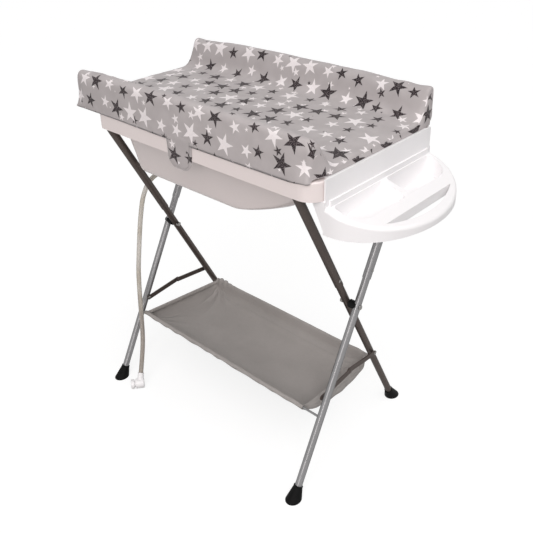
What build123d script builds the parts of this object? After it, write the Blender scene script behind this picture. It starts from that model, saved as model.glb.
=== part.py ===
"""Folding changing table with a bath, a side tray, a cloth shelf and a drain hose.

Frame: +X runs along the bath towards the tray, +Y runs from the carer's side to the far side,
+Z is up. The origin lies on the floor under the middle of the overall box. All sizes in mm.
"""

import math
import os

from build123d import *

os.makedirs("parts", exist_ok=True)

# Overall places
OVERALL_L = 970.0  # padded mat's left end to the tray's outer edge
RIM_HALF_W = 228.0  # half the bath's width over its rim
RIM_TOP = 883.0  # top of the bath's rim above the floor

# Stand tubes
FOOT_HALF_Y = 242.0  # half the spread of the feet at the floor
FRAME_STEP = 32.0  # outer frame's leg axes to the inner frame's
BOW_R = 11.0  # radius of the bent upper tubes
BOW_WALL = 1.2
LEG_R = 9.5  # radius of the straight lower legs
LEG_WALL = 1.2
BEND_R = 60.0  # bend radius of the upper tubes, on the axis
BOW_RISE = 66.0  # lower ends of the upper tubes above the pivots
SLEEVE_L = 45.0  # height by which a leg reaches up into its bow
LEG_LOW_Z = 14.0  # lower ends of the legs, inside the feet

# Clearances
SEAT_GAP = 0.3  # between bodies that only rest on each other
RUN_GAP = 0.06  # radial, turning pins
FIT_GAP = 0.05  # radial, fixed pins and plugs

# Scissor pivots
BOLT_R = 4.0
BOLT_HEAD_R = 7.5
BOLT_HEAD_H = 4.0
NUT_R = 7.0
NUT_H = 7.0
SPACER_R = 11.0

# Rivets in the tube sleeves
RIVET_R = 2.0
RIVET_HEAD_R = 4.0
RIVET_HEAD_H = 1.8

# Feet
FOOT_H = 36.0  # along the leg
FOOT_TOP_R = 12.0
FOOT_BASE_R = 20.0  # at the floor, across the leg
FOOT_COLLAR_H = 4.0  # straight rim at the top

# Folding braces
BRACE_Z = 239.0  # height of the brace pivots on the legs
BRACE_RISE = 12.0  # knuckle above the leg pivots, braces open
LINK_T = 3.0
LINK_W = 14.0
LAP_GAP = 0.4  # between the two links at the knuckle
BRACE_PIN_R = 2.5
BRACE_HEAD_R = 5.0
BRACE_HEAD_H = 2.0

# Shelf
WIRE_Z = 196.5
WIRE_R = 3.0
CLOTH_T = 1.6
CLOTH_SAG = 34.0
CLOTH_RIPPLE = 3.0  # height of the ripples along the hems
CLOTH_RIPPLES = 5  # waves along each hem
CLOTH_STATIONS = 16  # sections along the shelf, besides the first
FRONT_HEM_LEFT_IN = 17.0  # hem ends in from the leg axes
FRONT_HEM_RIGHT_IN = 57.0
REAR_HEM_IN = 21.0

# Bath
RIM_LEFT_IN = 44.0  # rim's left end in from the outer leg axis
RIM_RIGHT_OVER = 46.0  # rim's right end beyond the outer leg axis
RIM_SIDE_GAP = 1.0  # between the rails and the lip
RIM_T = 3.0
RIM_EDGE_R = 4.0
RIM_LIP_H = 44.0
RIM_LEFT_R = 12.0
RIM_RIGHT_R = 45.0
TUB_WALL = 3.0
TUB_DEPTH = 191.0  # rim's top to the underside of the base
TUB_LEFT_IN = 7.0  # basin's ends in from the rim's ends
TUB_RIGHT_IN = 33.0
TUB_RAIL_GAP = 14.0  # basin's sides from the rails
TUB_TOP_R = 46.0
TUB_BASE_LEFT_IN = 12.0  # base's ends and sides in from the basin's top
TUB_BASE_RIGHT_IN = 277.0
TUB_BASE_SIDE_IN = 50.0
TUB_BASE_R = 30.0
TUB_SLOPE = 2.2  # how full the sloping right end is
TUB_EDGE_R = 14.0  # rounding of the bath's bottom edge

# Drain
DRAIN_IN = 106.0  # from the base's left end
DRAIN_R = 15.0
DRAIN_FLANGE_R = 24.0
DRAIN_DROP = 42.0  # drain body below the bath's base
OUTLET_L = 46.0  # side outlet from the drain's axis
HOSE_R = 7.0
HOSE_BORE_R = 5.4
ROUTE_TOP = 663.0  # height at which the hose's route was taken to start
CLAMP_R = 9.2
CLAMP_W = 8.0

# Hose end
ELBOW_R = 15.0
ELBOW_L = 26.0
ELBOW_LAP = 8.0  # of its sleeve over the hose
ELBOW_TURN = 233.0  # heading of the plug, degrees from +X
CAP_R = 14.5
CAP_T = 11.0
CAP_STEM_R = 8.0
CAP_STEM_L = 12.0
CAP_GAP = 3.0

# Tray
TRAY_L = 152.7  # back to nose
TRAY_SIDE_IN = 28.0  # sides in from the bath's rim
TRAY_DROP = 56.0  # tray's top below the rim's top, at its back
TRAY_H = 63.0  # at its back
TRAY_SLOPE = 0.30  # fall of the top towards the nose
TRAY_WALL = 3.0
TRAY_EDGE_R = 9.0
TRAY_SIDE_X = 13.0  # straight part of each side, from the tray's back
TRAY_BACK_T = 4.0
STEP_H = 11.0  # ledge along the foot of the back
HOOK_W = 12.0
BASIN_X0 = 9.5  # basins, from the tray's back
BASIN_X1 = 77.0
BASIN_WALL_Y = 6.0  # half the divider
BASIN_SIDE_IN = 19.0  # basins in from the tray's sides
BASIN_R = 11.0
BASIN_NOSE_R = 53.0  # their outer front corners
BASIN_DEPTH = 36.0  # from the top of the tray's back
CUP_DEPTH = 52.0
SLOT_SIDE_IN = 73.0  # slot's ends in from the tray's sides
SLOT_END = 48.5  # slot's straight edge, back from the tray's nose
SLOT_OUT = 22.0
SLOT_COLLAR_H = 54.0
CHEEK_L = 32.0
CHEEK_H = 74.0

# Padded mat
PAD_OVER = 97.0  # beyond the rim's left end
PAD_END_IN = 15.0  # right end in from the rim's right end
BOARD_T = 5.0
BOARD_INSET = 14.0
BOLSTER_H = 91.4
BOLSTER_W = 66.0
BOLSTER_LEAN = 6.0
BOLSTER_TOP_W = 30.0
CENTRE_T = 19.0  # cushion thickness at its edges
CENTRE_CROWN = 5.0
PAD_END = 40.0  # length over which the ends draw in
SOFT_BAYS = 8  # even lengths between the soft sections
TAB_W = 90.0
TAB_L = 90.0
TAB_T = 2.0
TAB_SHIFT = 3.0  # tab's middle from the stand's middle
TAB_OVERLAP = 10.0

# Mat hinges
HINGE_OFF = 8.0  # hinge axis beyond the rim
HINGE_RISE = 2.0  # hinge axis above the rim
HINGE_HALF_X = 190.0
HINGE_L = 40.0
KNUCKLE_R = 4.5
PIN_R = 2.0
LEAF_T = 2.0
LEAF_REACH = 40.0
BRACKET_T = 3.0
BRACKET_H = 36.0
SIDE_GAP = 0.4

# Worked out from the sizes above
TOP_TUBE_Z = RIM_TOP - RIM_T - SEAT_GAP - BOW_R
RAIL_Y = RIM_HALF_W - RIM_T - RIM_SIDE_GAP - BOW_R
PIVOT_Z = TOP_TUBE_Z * FOOT_HALF_Y / (FOOT_HALF_Y + RAIL_Y)
LEAN = FOOT_HALF_Y / PIVOT_Z
LEAN_ANGLE = math.atan(LEAN)
BOW_END_Z = PIVOT_Z + BOW_RISE
RIM_L = OVERALL_L - PAD_OVER - TRAY_L - SEAT_GAP
OUTER_HALF_X = (RIM_L + RIM_LEFT_IN - RIM_RIGHT_OVER) / 2
INNER_HALF_X = OUTER_HALF_X - FRAME_STEP
RIM_LEFT = RIM_LEFT_IN - OUTER_HALF_X  # this and the next places are from the stand's middle
RIM_RIGHT = OUTER_HALF_X + RIM_RIGHT_OVER
TUB_TOP_LEFT = RIM_LEFT + TUB_LEFT_IN
TUB_TOP_RIGHT = RIM_RIGHT - TUB_RIGHT_IN
TUB_BASE_LEFT = TUB_TOP_LEFT + TUB_BASE_LEFT_IN
TUB_BASE_RIGHT = TUB_TOP_RIGHT - TUB_BASE_RIGHT_IN
DRAIN_X = TUB_BASE_LEFT + DRAIN_IN
FRONT_HEM_LEFT = FRONT_HEM_LEFT_IN - OUTER_HALF_X
FRONT_HEM_RIGHT = OUTER_HALF_X - FRONT_HEM_RIGHT_IN
REAR_HEM_RIGHT = INNER_HALF_X - REAR_HEM_IN
REAR_HEM_LEFT = -REAR_HEM_RIGHT
TUB_BASE_Z = RIM_TOP - TUB_DEPTH
TUB_TOP_HALF_W = RAIL_Y - BOW_R - TUB_RAIL_GAP
TUB_BASE_HALF_W = TUB_TOP_HALF_W - TUB_BASE_SIDE_IN
STAND_X = PAD_OVER - RIM_LEFT - OVERALL_L / 2  # the stand's middle plane
TRAY_NOSE = OVERALL_L / 2
TRAY_BACK = TRAY_NOSE - TRAY_L
TRAY_HALF_W = RIM_HALF_W - TRAY_SIDE_IN
TRAY_TOP = RIM_TOP - TRAY_DROP
TRAY_LOW = TRAY_TOP - TRAY_H
BASIN_HALF_W = TRAY_HALF_W - BASIN_SIDE_IN
SLOT_HALF_L = TRAY_HALF_W - SLOT_SIDE_IN
PAD_LEFT = -OVERALL_L / 2
PAD_RIGHT = STAND_X + RIM_RIGHT - PAD_END_IN
PAD_L = PAD_RIGHT - PAD_LEFT
BOARD_Z = RIM_TOP + SEAT_GAP
CUSHION_Z = BOARD_Z + BOARD_T + SEAT_GAP
PAD_TOP = CUSHION_Z + BOLSTER_H
HINGE_Y = RIM_HALF_W + HINGE_OFF
HINGE_Z = RIM_TOP + HINGE_RISE
FACE_GAP = OUTER_HALF_X - INNER_HALF_X - 2 * LEG_R
LAP_X = (OUTER_HALF_X + INNER_HALF_X) / 2
OUTER = 1
INNER = -1
SIDES = {"left": -1, "right": 1}


def leg_y(frame, z):
    """Y of a frame's leg axis at a height: the outer frame leans to the far side going up."""
    return frame * (z - PIVOT_Z) * LEAN


def half_x(frame):
    """Distance of a frame's legs from the stand's middle."""
    return OUTER_HALF_X if frame == OUTER else INNER_HALF_X


def along_leg(frame, side, z):
    """Plane on a leg's axis at a height, with its normal up along the leg."""
    up = (0, frame * math.sin(LEAN_ANGLE), math.cos(LEAN_ANGLE))
    origin = (STAND_X + side * half_x(frame), leg_y(frame, z), z)
    return Plane(origin=origin, x_dir=(1, 0, 0), z_dir=up)


def rod(start, direction, radius, length):
    """Round rod from a point along a direction."""
    rise = (Align.CENTER, Align.CENTER, Align.MIN)
    return Plane(origin=start, z_dir=direction) * Cylinder(radius, length, align=rise)


def cross_rod(x0, x1, y, z, radius):
    """Round rod along X between two places."""
    return rod((min(x0, x1), y, z), (1, 0, 0), radius, abs(x1 - x0))


def dome(start, direction, radius, height):
    """Low rivet head standing on a point."""
    ball_r = (radius**2 + height**2) / (2 * height)
    plane = Plane(origin=start, z_dir=direction)
    ball = plane * Pos(0, 0, height - ball_r) * Sphere(ball_r)
    return ball & rod(start, direction, radius, height)


def save(name, shape):
    """Write one named piece."""
    export_step(shape, f"parts/{name}.step")
    solids = shape.solids()
    print(f"{name}: {len(solids)} solid(s), {sum(s.volume for s in solids) / 1000:.2f} cm3")


def group(pieces):
    """Separate solids that share one node."""
    return Compound(children=list(pieces))


# Stand


def top_bow(frame):
    """Bent upper tube: two legs and the top rail that carries the bath."""
    reach = half_x(frame)
    low_y = leg_y(frame, BOW_END_Z)
    top_y = leg_y(frame, TOP_TUBE_Z)
    corners = [
        (STAND_X - reach, low_y, BOW_END_Z),
        (STAND_X - reach, top_y, TOP_TUBE_Z),
        (STAND_X + reach, top_y, TOP_TUBE_Z),
        (STAND_X + reach, low_y, BOW_END_Z),
    ]
    path = FilletPolyline(*corners, radius=BEND_R)
    ring = Circle(BOW_R) - Circle(BOW_R - BOW_WALL)
    tube = sweep(Plane(origin=path @ 0, z_dir=path % 0) * ring, path=path)
    for side in SIDES.values():
        tube -= sleeve_rivet_hole(frame, side)
    return tube


def sleeve_rivet_z():
    """Height of the rivets that hold the bows on the legs."""
    return BOW_END_Z + SLEEVE_L * math.cos(LEAN_ANGLE) / 2


def sleeve_rivet_hole(frame, side):
    """Cutter for one sleeve rivet, from the outside into the leg's bore."""
    x = STAND_X + side * half_x(frame)
    z = sleeve_rivet_z()
    return cross_rod(x, x + side * 2 * BOW_R, leg_y(frame, z), z, RIVET_R + FIT_GAP)


def sleeve_rivets(frame):
    """Domed rivets on the outer sides of the sleeves."""
    z = sleeve_rivet_z()
    rivets = []
    for side in SIDES.values():
        x = STAND_X + side * half_x(frame)
        face = x + side * (BOW_R + FIT_GAP)
        y = leg_y(frame, z)
        shank = cross_rod(x + side * (LEG_R - 2 * LEG_WALL), face, y, z, RIVET_R)
        rivets.append(shank + dome((face, y, z), (side, 0, 0), RIVET_HEAD_R, RIVET_HEAD_H))
    return group(rivets)


def lower_leg(frame, side):
    """Straight lower leg with holes for its pivot, brace pin, shelf wire and sleeve rivet."""
    x = STAND_X + side * half_x(frame)
    top = BOW_END_Z + SLEEVE_L * math.cos(LEAN_ANGLE)
    length = (top - LEG_LOW_Z) / math.cos(LEAN_ANGLE)
    rise = (Align.CENTER, Align.CENTER, Align.MIN)
    seat = along_leg(frame, side, LEG_LOW_Z)
    leg = seat * Cylinder(LEG_R, length, align=rise)
    leg -= seat * Cylinder(LEG_R - LEG_WALL, length, align=rise)
    pivot_gap = FIT_GAP if frame == OUTER else RUN_GAP
    leg -= cross_rod(x - 2 * LEG_R, x + 2 * LEG_R, 0, PIVOT_Z, BOLT_R + pivot_gap)
    inward = -side if frame == OUTER else side
    brace_y = leg_y(frame, BRACE_Z)
    leg -= cross_rod(x, x + inward * 2 * LEG_R, brace_y, BRACE_Z, BRACE_PIN_R + FIT_GAP)
    wire_y = leg_y(frame, WIRE_Z)
    leg -= cross_rod(x, x - side * 2 * LEG_R, wire_y, WIRE_Z, WIRE_R + FIT_GAP)
    return leg - sleeve_rivet_hole(frame, side)


def foot(frame, side):
    """Flared rubber cap on a leg's end, cut level at the floor."""
    seat = along_leg(frame, side, LEG_LOW_Z)
    floor = -LEG_LOW_Z / math.cos(LEAN_ANGLE)
    top = floor + FOOT_H
    low = floor - 2 * FOOT_BASE_R * LEAN
    flare = (FOOT_BASE_R - FOOT_TOP_R) / (FOOT_H - FOOT_COLLAR_H)
    profile = [
        (0, low),
        (FOOT_BASE_R + flare * (floor - low), low),
        (FOOT_TOP_R, top - FOOT_COLLAR_H),
        (FOOT_TOP_R, top),
        (0, top),
    ]
    cap = revolve(Plane.XZ * make_face(Polyline(*profile, close=True)), axis=Axis.Z)
    rise = (Align.CENTER, Align.CENTER, Align.MIN)
    shape = seat * (cap - Cylinder(LEG_R + FIT_GAP, 2 * FOOT_H, align=rise))
    size = 6 * FOOT_H
    below = Pos(STAND_X + side * half_x(frame), leg_y(frame, 0), -size / 2) * Box(size, size, size)
    return shape - below


def pivot_bolt(side):
    """Shouldered bolt through both legs, with a domed head outside."""
    outside = STAND_X + side * (OUTER_HALF_X + LEG_R + FIT_GAP)
    inside = STAND_X + side * (INNER_HALF_X - LEG_R - SEAT_GAP - NUT_H + 1)
    head = dome((outside, 0, PIVOT_Z), (side, 0, 0), BOLT_HEAD_R, BOLT_HEAD_H)
    return head + cross_rod(inside, outside, 0, PIVOT_Z, BOLT_R)


def pivot_nut(side):
    """Cap nut on the inner end of a pivot bolt."""
    face = STAND_X + side * (INNER_HALF_X - LEG_R - SEAT_GAP)
    nut = Plane(origin=(face, 0, PIVOT_Z), z_dir=(-side, 0, 0)) * extrude(
        RegularPolygon(NUT_R, 6), NUT_H
    )
    return nut - cross_rod(face, face - side * (NUT_H - 0.8), 0, PIVOT_Z, BOLT_R + FIT_GAP)


def pivot_spacer(side):
    """Plastic spacer between the two legs, saddled on the outer leg."""
    middle = STAND_X + side * OUTER_HALF_X
    face = STAND_X + side * (INNER_HALF_X + LEG_R + SEAT_GAP)
    block = cross_rod(middle, face, 0, PIVOT_Z, SPACER_R)
    saddle = along_leg(OUTER, side, PIVOT_Z) * Cylinder(LEG_R + FIT_GAP, 4 * SPACER_R)
    return block - saddle - cross_rod(middle, face, 0, PIVOT_Z, BOLT_R + FIT_GAP)


def shelf_wire(frame):
    """Straight steel rod across one frame, its ends inside the legs."""
    reach = half_x(frame) - (LEG_R - LEG_WALL) / 2
    return cross_rod(
        STAND_X - reach, STAND_X + reach, leg_y(frame, WIRE_Z), WIRE_Z, WIRE_R
    )


def link_x(frame):
    """Mid-plane of a frame's brace link, from the stand's middle."""
    return LAP_X + frame * (LAP_GAP + LINK_T) / 2


def brace_link(frame, side):
    """Flat brace bar from its leg to the knuckle, with a spacing boss and a knuckle rivet head."""
    leg_point = Vector(0, leg_y(frame, BRACE_Z), BRACE_Z)
    knuckle = Vector(0, 0, BRACE_Z + BRACE_RISE)
    run = knuckle - leg_point
    x = STAND_X + side * link_x(frame)
    mid = (leg_point + knuckle) * 0.5
    plane = Plane(origin=(x, mid.Y, mid.Z), x_dir=run.normalized(), z_dir=(1, 0, 0))
    bar = plane * extrude(SlotCenterToCenter(run.length, LINK_W), LINK_T / 2, both=True)
    face = STAND_X + side * (half_x(frame) - frame * (LEG_R + SEAT_GAP))
    bar += cross_rod(x, face, leg_point.Y, BRACE_Z, BRACE_HEAD_R)
    outward = frame * side
    head_at = (x + outward * LINK_T / 2, 0, knuckle.Z)
    bar += dome(head_at, (outward, 0, 0), BRACE_HEAD_R, BRACE_HEAD_H * 0.6)
    reach = 2 * (FACE_GAP + LINK_T)
    return bar - cross_rod(x - reach, x + reach, leg_point.Y, BRACE_Z, BRACE_PIN_R + RUN_GAP)


def brace_pins(frame):
    """Headed pins that carry the brace links on the legs."""
    pins = []
    for side in SIDES.values():
        y = leg_y(frame, BRACE_Z)
        root = STAND_X + side * (half_x(frame) - frame * (LEG_R - 2 * LEG_WALL))
        face = STAND_X + side * (link_x(frame) - frame * (LINK_T / 2 + SEAT_GAP))
        pin = cross_rod(root, face, y, BRACE_Z, BRACE_PIN_R)
        pins.append(pin + dome((face, y, BRACE_Z), (-frame * side, 0, 0), BRACE_HEAD_R, BRACE_HEAD_H))
    return group(pins)


def cloth_section(share):
    """Slanting section of the shelf cloth between its two hems."""
    front_x = STAND_X + FRONT_HEM_LEFT + share * (FRONT_HEM_RIGHT - FRONT_HEM_LEFT)
    rear_x = STAND_X + REAR_HEM_LEFT + share * (REAR_HEM_RIGHT - REAR_HEM_LEFT)
    hem = WIRE_R + SEAT_GAP + CLOTH_T / 2
    front = Vector(front_x, leg_y(OUTER, WIRE_Z) + hem, 0)
    rear = Vector(rear_x, leg_y(INNER, WIRE_Z) - hem, 0)
    upper = []
    for step in range(9):
        across = step / 8
        point = front + (rear - front) * across
        wave = math.sin(2 * math.pi * (CLOTH_RIPPLES * share + across * 0.7))
        belly = 4 * across * (1 - across)
        end_lift = 1 - 0.35 * (2 * share - 1) ** 2
        ripple = CLOTH_RIPPLE * wave * math.sin(math.pi * across) ** 0.5 if 0 < step < 8 else 0
        z = WIRE_Z - CLOTH_SAG * end_lift * belly**0.75 + ripple + CLOTH_T / 2
        upper.append(Vector(point.X, point.Y, z))
    lower = [p - Vector(0, 0, CLOTH_T) for p in upper]
    edges = [
        Spline(*upper),
        Line(upper[-1], lower[-1]),
        Spline(*reversed(lower)),
        Line(lower[0], upper[0]),
    ]
    return make_face(edges)


def shelf_cloth():
    """Sagging cloth shelf, sewn round the front and rear wires."""
    sections = [cloth_section(i / CLOTH_STATIONS) for i in range(CLOTH_STATIONS + 1)]
    sheet = loft(sections)
    outer_r = WIRE_R + SEAT_GAP + CLOTH_T
    hems = (
        (OUTER, FRONT_HEM_LEFT, FRONT_HEM_RIGHT),
        (INNER, REAR_HEM_LEFT, REAR_HEM_RIGHT),
    )
    for frame, left, right in hems:
        y = leg_y(frame, WIRE_Z)
        sheet += cross_rod(STAND_X + left, STAND_X + right, y, WIRE_Z, outer_r)
    for frame, left, right in hems:
        y = leg_y(frame, WIRE_Z)
        sheet -= cross_rod(STAND_X + left, STAND_X + right, y, WIRE_Z, WIRE_R + SEAT_GAP)
    return sheet


# Bath


def tub_section(z, inset):
    """Level section of the bath's basin; the right end slopes up like a backrest."""
    up = (z - TUB_BASE_Z) / (RIM_TOP - TUB_BASE_Z)
    left = TUB_BASE_LEFT + up * (TUB_TOP_LEFT - TUB_BASE_LEFT) + inset
    fill = 1 - max(0.0, 1 - up) ** TUB_SLOPE
    right = TUB_BASE_RIGHT + fill * (TUB_TOP_RIGHT - TUB_BASE_RIGHT) - inset
    half_w = TUB_BASE_HALF_W + up * (TUB_TOP_HALF_W - TUB_BASE_HALF_W) - inset
    corner = TUB_BASE_R + up * (TUB_TOP_R - TUB_BASE_R) - inset
    middle = STAND_X + (left + right) / 2
    return Pos(middle, 0, z) * RectangleRounded(right - left, 2 * half_w, corner)


def tub_basin(inset, raised):
    """Solid basin form, smaller by an inset and with its base raised."""
    low = TUB_BASE_Z + raised
    rounded = TUB_EDGE_R / (RIM_TOP - low)
    steps = (rounded, 0.2, 0.38, 0.64, 1.0)
    sections = [tub_section(low, inset + TUB_EDGE_R * 0.6)]
    sections += [tub_section(low + s * (RIM_TOP - low), inset) for s in steps]
    return loft(sections)


def rim_outline(inset):
    """Outline of the bath's rim: nearly square at the left, round at the tray's end."""
    left = STAND_X + RIM_LEFT + inset
    right = STAND_X + RIM_RIGHT - inset
    face = Pos((left + right) / 2, 0) * Rectangle(right - left, 2 * (RIM_HALF_W - inset))
    corners = face.vertices().sort_by(Axis.X)
    face = fillet(corners[:2], RIM_LEFT_R - inset)
    corners = [v for v in face.vertices() if v.X > right - 1]
    return fillet(corners, RIM_RIGHT_R - inset)


def tub_shell():
    """White bath: basin, flat rim and the deep lip that hides the stand's top rails."""
    basin = tub_basin(0, 0)
    lip_z = RIM_TOP - RIM_LIP_H
    rim = extrude(Pos(0, 0, lip_z) * rim_outline(0), RIM_LIP_H)
    rim = fillet(rim.faces().sort_by(Axis.Z)[-1].edges(), RIM_EDGE_R)
    rim -= extrude(Pos(0, 0, lip_z) * rim_outline(RIM_T), RIM_LIP_H - RIM_T)
    notch_w = RIM_HALF_W - TUB_TOP_HALF_W
    notch_h = RIM_LIP_H - RIM_T
    for side in (-1, 1):
        notch_at = side * (TUB_TOP_HALF_W - RIM_T + notch_w / 2)
        notch_x = STAND_X + RIM_LEFT
        rim -= Pos(notch_x, notch_at, lip_z + notch_h / 2) * Box(2 * (RIM_LEFT_R + RIM_T), notch_w, notch_h)
    shell = basin + rim
    shell -= tub_basin(TUB_WALL, TUB_WALL)
    drain = (STAND_X + DRAIN_X, 0, TUB_BASE_Z - 1)
    return shell - rod(drain, (0, 0, 1), DRAIN_R + FIT_GAP, 4 * TUB_WALL)


def drain_spout():
    """Drain body through the bath's base, with a side outlet for the hose."""
    x = STAND_X + DRAIN_X
    top = TUB_BASE_Z + TUB_WALL + FIT_GAP
    under = TUB_BASE_Z - FIT_GAP
    low = TUB_BASE_Z - DRAIN_DROP
    body = rod((x, 0, low), (0, 0, 1), DRAIN_R, top + 2 - low)
    body += rod((x, 0, top), (0, 0, 1), DRAIN_FLANGE_R, 2)
    body += rod((x, 0, under - 5), (0, 0, 1), DRAIN_FLANGE_R, 5)
    outlet_z = low + DRAIN_R - 2
    body += rod((x, 0, outlet_z), (-1, 0, 0), HOSE_BORE_R - FIT_GAP, OUTLET_L)
    body += rod((x, 0, outlet_z), (-1, 0, 0), HOSE_R + 1.5, DRAIN_R + 4)
    body -= rod((x, 0, low + 3), (0, 0, 1), DRAIN_R - 3, 2 * DRAIN_DROP)
    return body - rod((x, 0, outlet_z), (-1, 0, 0), HOSE_BORE_R - 2, 2 * OUTLET_L)


def drain_strainer():
    """Round strainer dropped into the drain, pierced by a ring of holes."""
    x = STAND_X + DRAIN_X
    z = TUB_BASE_Z + TUB_WALL - 2
    disc = rod((x, 0, z), (0, 0, 1), DRAIN_R - 3 - FIT_GAP, 2)
    with_ring = PolarLocations((DRAIN_R - 3) * 0.58, 6)
    for place in with_ring:
        disc -= Pos(x, 0, z + 1) * place * Cylinder(2.1, 6)
    return disc - Pos(x, 0, z + 1) * Cylinder(2.1, 6)


def hose_route():
    """Points of the drain hose, from the drain's outlet down to the floor by the front left foot."""
    outlet_z = TUB_BASE_Z - DRAIN_DROP + DRAIN_R - 2
    chosen = [
        (-DRAIN_R - 5, 0, ROUTE_TOP),
        (-72, 0, ROUTE_TOP),
        (-120, -20, 651),
        (-156, -54, 620),
        (-170, -84, 576),
        (-172, -108, 524),
        (-171, -124, 470),
        (-168, -136, 415),
        (-163, -147, 359),
        (-156, -154, 303),
        (-147, -159, 247),
        (-136, -167, 192),
        (-122, -181, 138),
        (-108, -200, 90),
        (-90, -228, 36),
    ]
    drain = STAND_X + DRAIN_X
    return [Vector(drain + x, y, z * outlet_z / ROUTE_TOP) for x, y, z in chosen]


def drain_hose():
    """Clear hose swept along its route of straight runs and tangent arcs."""
    points = hose_route()
    radii = []
    for before, here, after in zip(points, points[1:], points[2:]):
        turn = math.radians((here - before).get_angle(after - here))
        shorter = min((here - before).length, (after - here).length)
        radii.append(0.45 * shorter / math.tan(turn / 2))
    print("hose bend radii:", [round(r) for r in radii])
    path = FilletPolyline(*points, radius=radii)
    ring = Circle(HOSE_R) - Circle(HOSE_BORE_R)
    hose = sweep(Plane(origin=path @ 0, z_dir=path % 0) * ring, path=path)
    expected = math.pi * (HOSE_R**2 - HOSE_BORE_R**2) * path.length
    print(f"hose volume over section times length: {hose.volume / expected:.4f}")
    return hose


def hose_clamp():
    """Band that holds the hose on the drain's outlet."""
    x = STAND_X + DRAIN_X - OUTLET_L + 6
    z = TUB_BASE_Z - DRAIN_DROP + DRAIN_R - 2
    band = rod((x, 0, z), (1, 0, 0), CLAMP_R, CLAMP_W)
    band += Pos(x + CLAMP_W / 2, 0, z - CLAMP_R - 1) * Box(CLAMP_W, 7, 6)
    return band - rod((x - 1, 0, z), (1, 0, 0), HOSE_R + SEAT_GAP, CLAMP_W + 2)


def elbow_axis():
    """Heading of the plug at the hose's end."""
    turn = math.radians(ELBOW_TURN)
    return Vector(math.cos(turn), math.sin(turn), 0)


def elbow_centre():
    """Middle of the end fitting's barrel, where the hose's last run meets its height."""
    before, end = hose_route()[-2:]
    run = (end - before).normalized()
    return end + run * ((end.Z - ELBOW_R - SEAT_GAP) / -run.Z)


def hose_elbow():
    """White end fitting: a sleeve round the hose and a barrel lying on the floor."""
    heading = elbow_axis()
    centre = elbow_centre()
    end = hose_route()[-1]
    barrel = rod(centre - heading * (ELBOW_L / 2), heading, ELBOW_R, ELBOW_L)
    barrel = fillet(barrel.edges().filter_by(GeomType.CIRCLE), 3)
    neck = rod(centre + heading * (ELBOW_L / 2 - 1), heading, CAP_STEM_R + 2, CAP_GAP)
    drop = centre - end
    sleeve = rod(end - drop.normalized() * ELBOW_LAP, drop, HOSE_R + 2.2, drop.length + ELBOW_LAP)
    shape = barrel + neck + sleeve
    inlet = end - drop.normalized() * 2 * ELBOW_LAP
    shape -= rod(inlet, drop, HOSE_R + SEAT_GAP, 2 * ELBOW_LAP + SEAT_GAP)
    shape -= rod(end, drop, HOSE_BORE_R, drop.length)
    bore_from = centre + heading * (ELBOW_L / 2 + CAP_GAP - CAP_STEM_L - 2)
    return shape - rod(bore_from, heading, CAP_STEM_R + RUN_GAP, 2 * CAP_STEM_L)


def hose_cap():
    """Round plug with a ribbed edge that pulls out of the end fitting."""
    heading = elbow_axis()
    centre = elbow_centre()
    face = centre + heading * (ELBOW_L / 2 + CAP_GAP)
    disc = fillet(rod(face, heading, CAP_R, CAP_T).edges().filter_by(GeomType.CIRCLE), 2.5)
    return disc + rod(face - heading * CAP_STEM_L, heading, CAP_STEM_R, CAP_STEM_L + 1)


# Tray


def tray_outline(inset):
    """D-shaped outline of the tray seen from above: short straight sides and an elliptical nose."""
    side_x = TRAY_BACK + TRAY_SIDE_X
    back_x = TRAY_BACK + inset
    side_y = TRAY_HALF_W - inset
    nose = EllipticalCenterArc(
        (side_x, 0), TRAY_NOSE - inset - side_x, side_y, start_angle=-90, arc_size=180
    )
    back = Polyline((side_x, side_y), (back_x, side_y), (back_x, -side_y), (side_x, -side_y))
    return make_face([nose, back])


def under_top(shape, drop):
    """What of a shape lies that far under the tray's sloping top."""
    top = Plane(origin=(TRAY_BACK, 0, TRAY_TOP - drop), z_dir=(TRAY_SLOPE, 0, 1))
    return split(shape, bisect_by=top, keep=Keep.BOTTOM)


def tray_block(inset, drop):
    """Solid tray, drawn in by the inset, with a rounded edge along its sloping top."""
    block = under_top(extrude(Pos(0, 0, TRAY_LOW) * tray_outline(inset), TRAY_H), drop)
    top = block.faces().sort_by(Axis.Z)[-1]
    edges = [e for e in top.edges() if e.center().X > TRAY_BACK + inset + 1]
    return fillet(edges, TRAY_EDGE_R - inset)


def basin_outline(side, inset):
    """Outline of one basin, its outer front corner rounded like the tray's nose."""
    x0 = TRAY_BACK + BASIN_X0 + inset
    x1 = TRAY_BACK + BASIN_X1 - inset
    inner = side * (BASIN_WALL_Y + inset)
    outer = side * (BASIN_HALF_W - inset)
    face = make_face(Polyline((x0, inner), (x1, inner), (x1, outer), (x0, outer), close=True))
    nose = face.vertices().sort_by(Axis((0, 0, 0), (1, side, 0)))[-1]
    face = fillet(nose, BASIN_NOSE_R - inset)
    corners = [v for v in face.vertices() if v.X < x0 + 0.01 or abs(v.Y - inner) < 0.01]
    return fillet(corners, BASIN_R - inset)


def slot_outline(grow):
    """Slot behind the tray's nose, straight at the back and bowed at the front."""
    end_x = TRAY_NOSE - SLOT_END - grow
    end_y = SLOT_HALF_L + 2 * grow
    inner = Line((end_x, -end_y), (end_x, end_y))
    outer = ThreePointArc((end_x, end_y), (TRAY_NOSE - SLOT_OUT + grow, 0), (end_x, -end_y))
    return make_face([inner, outer])


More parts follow.
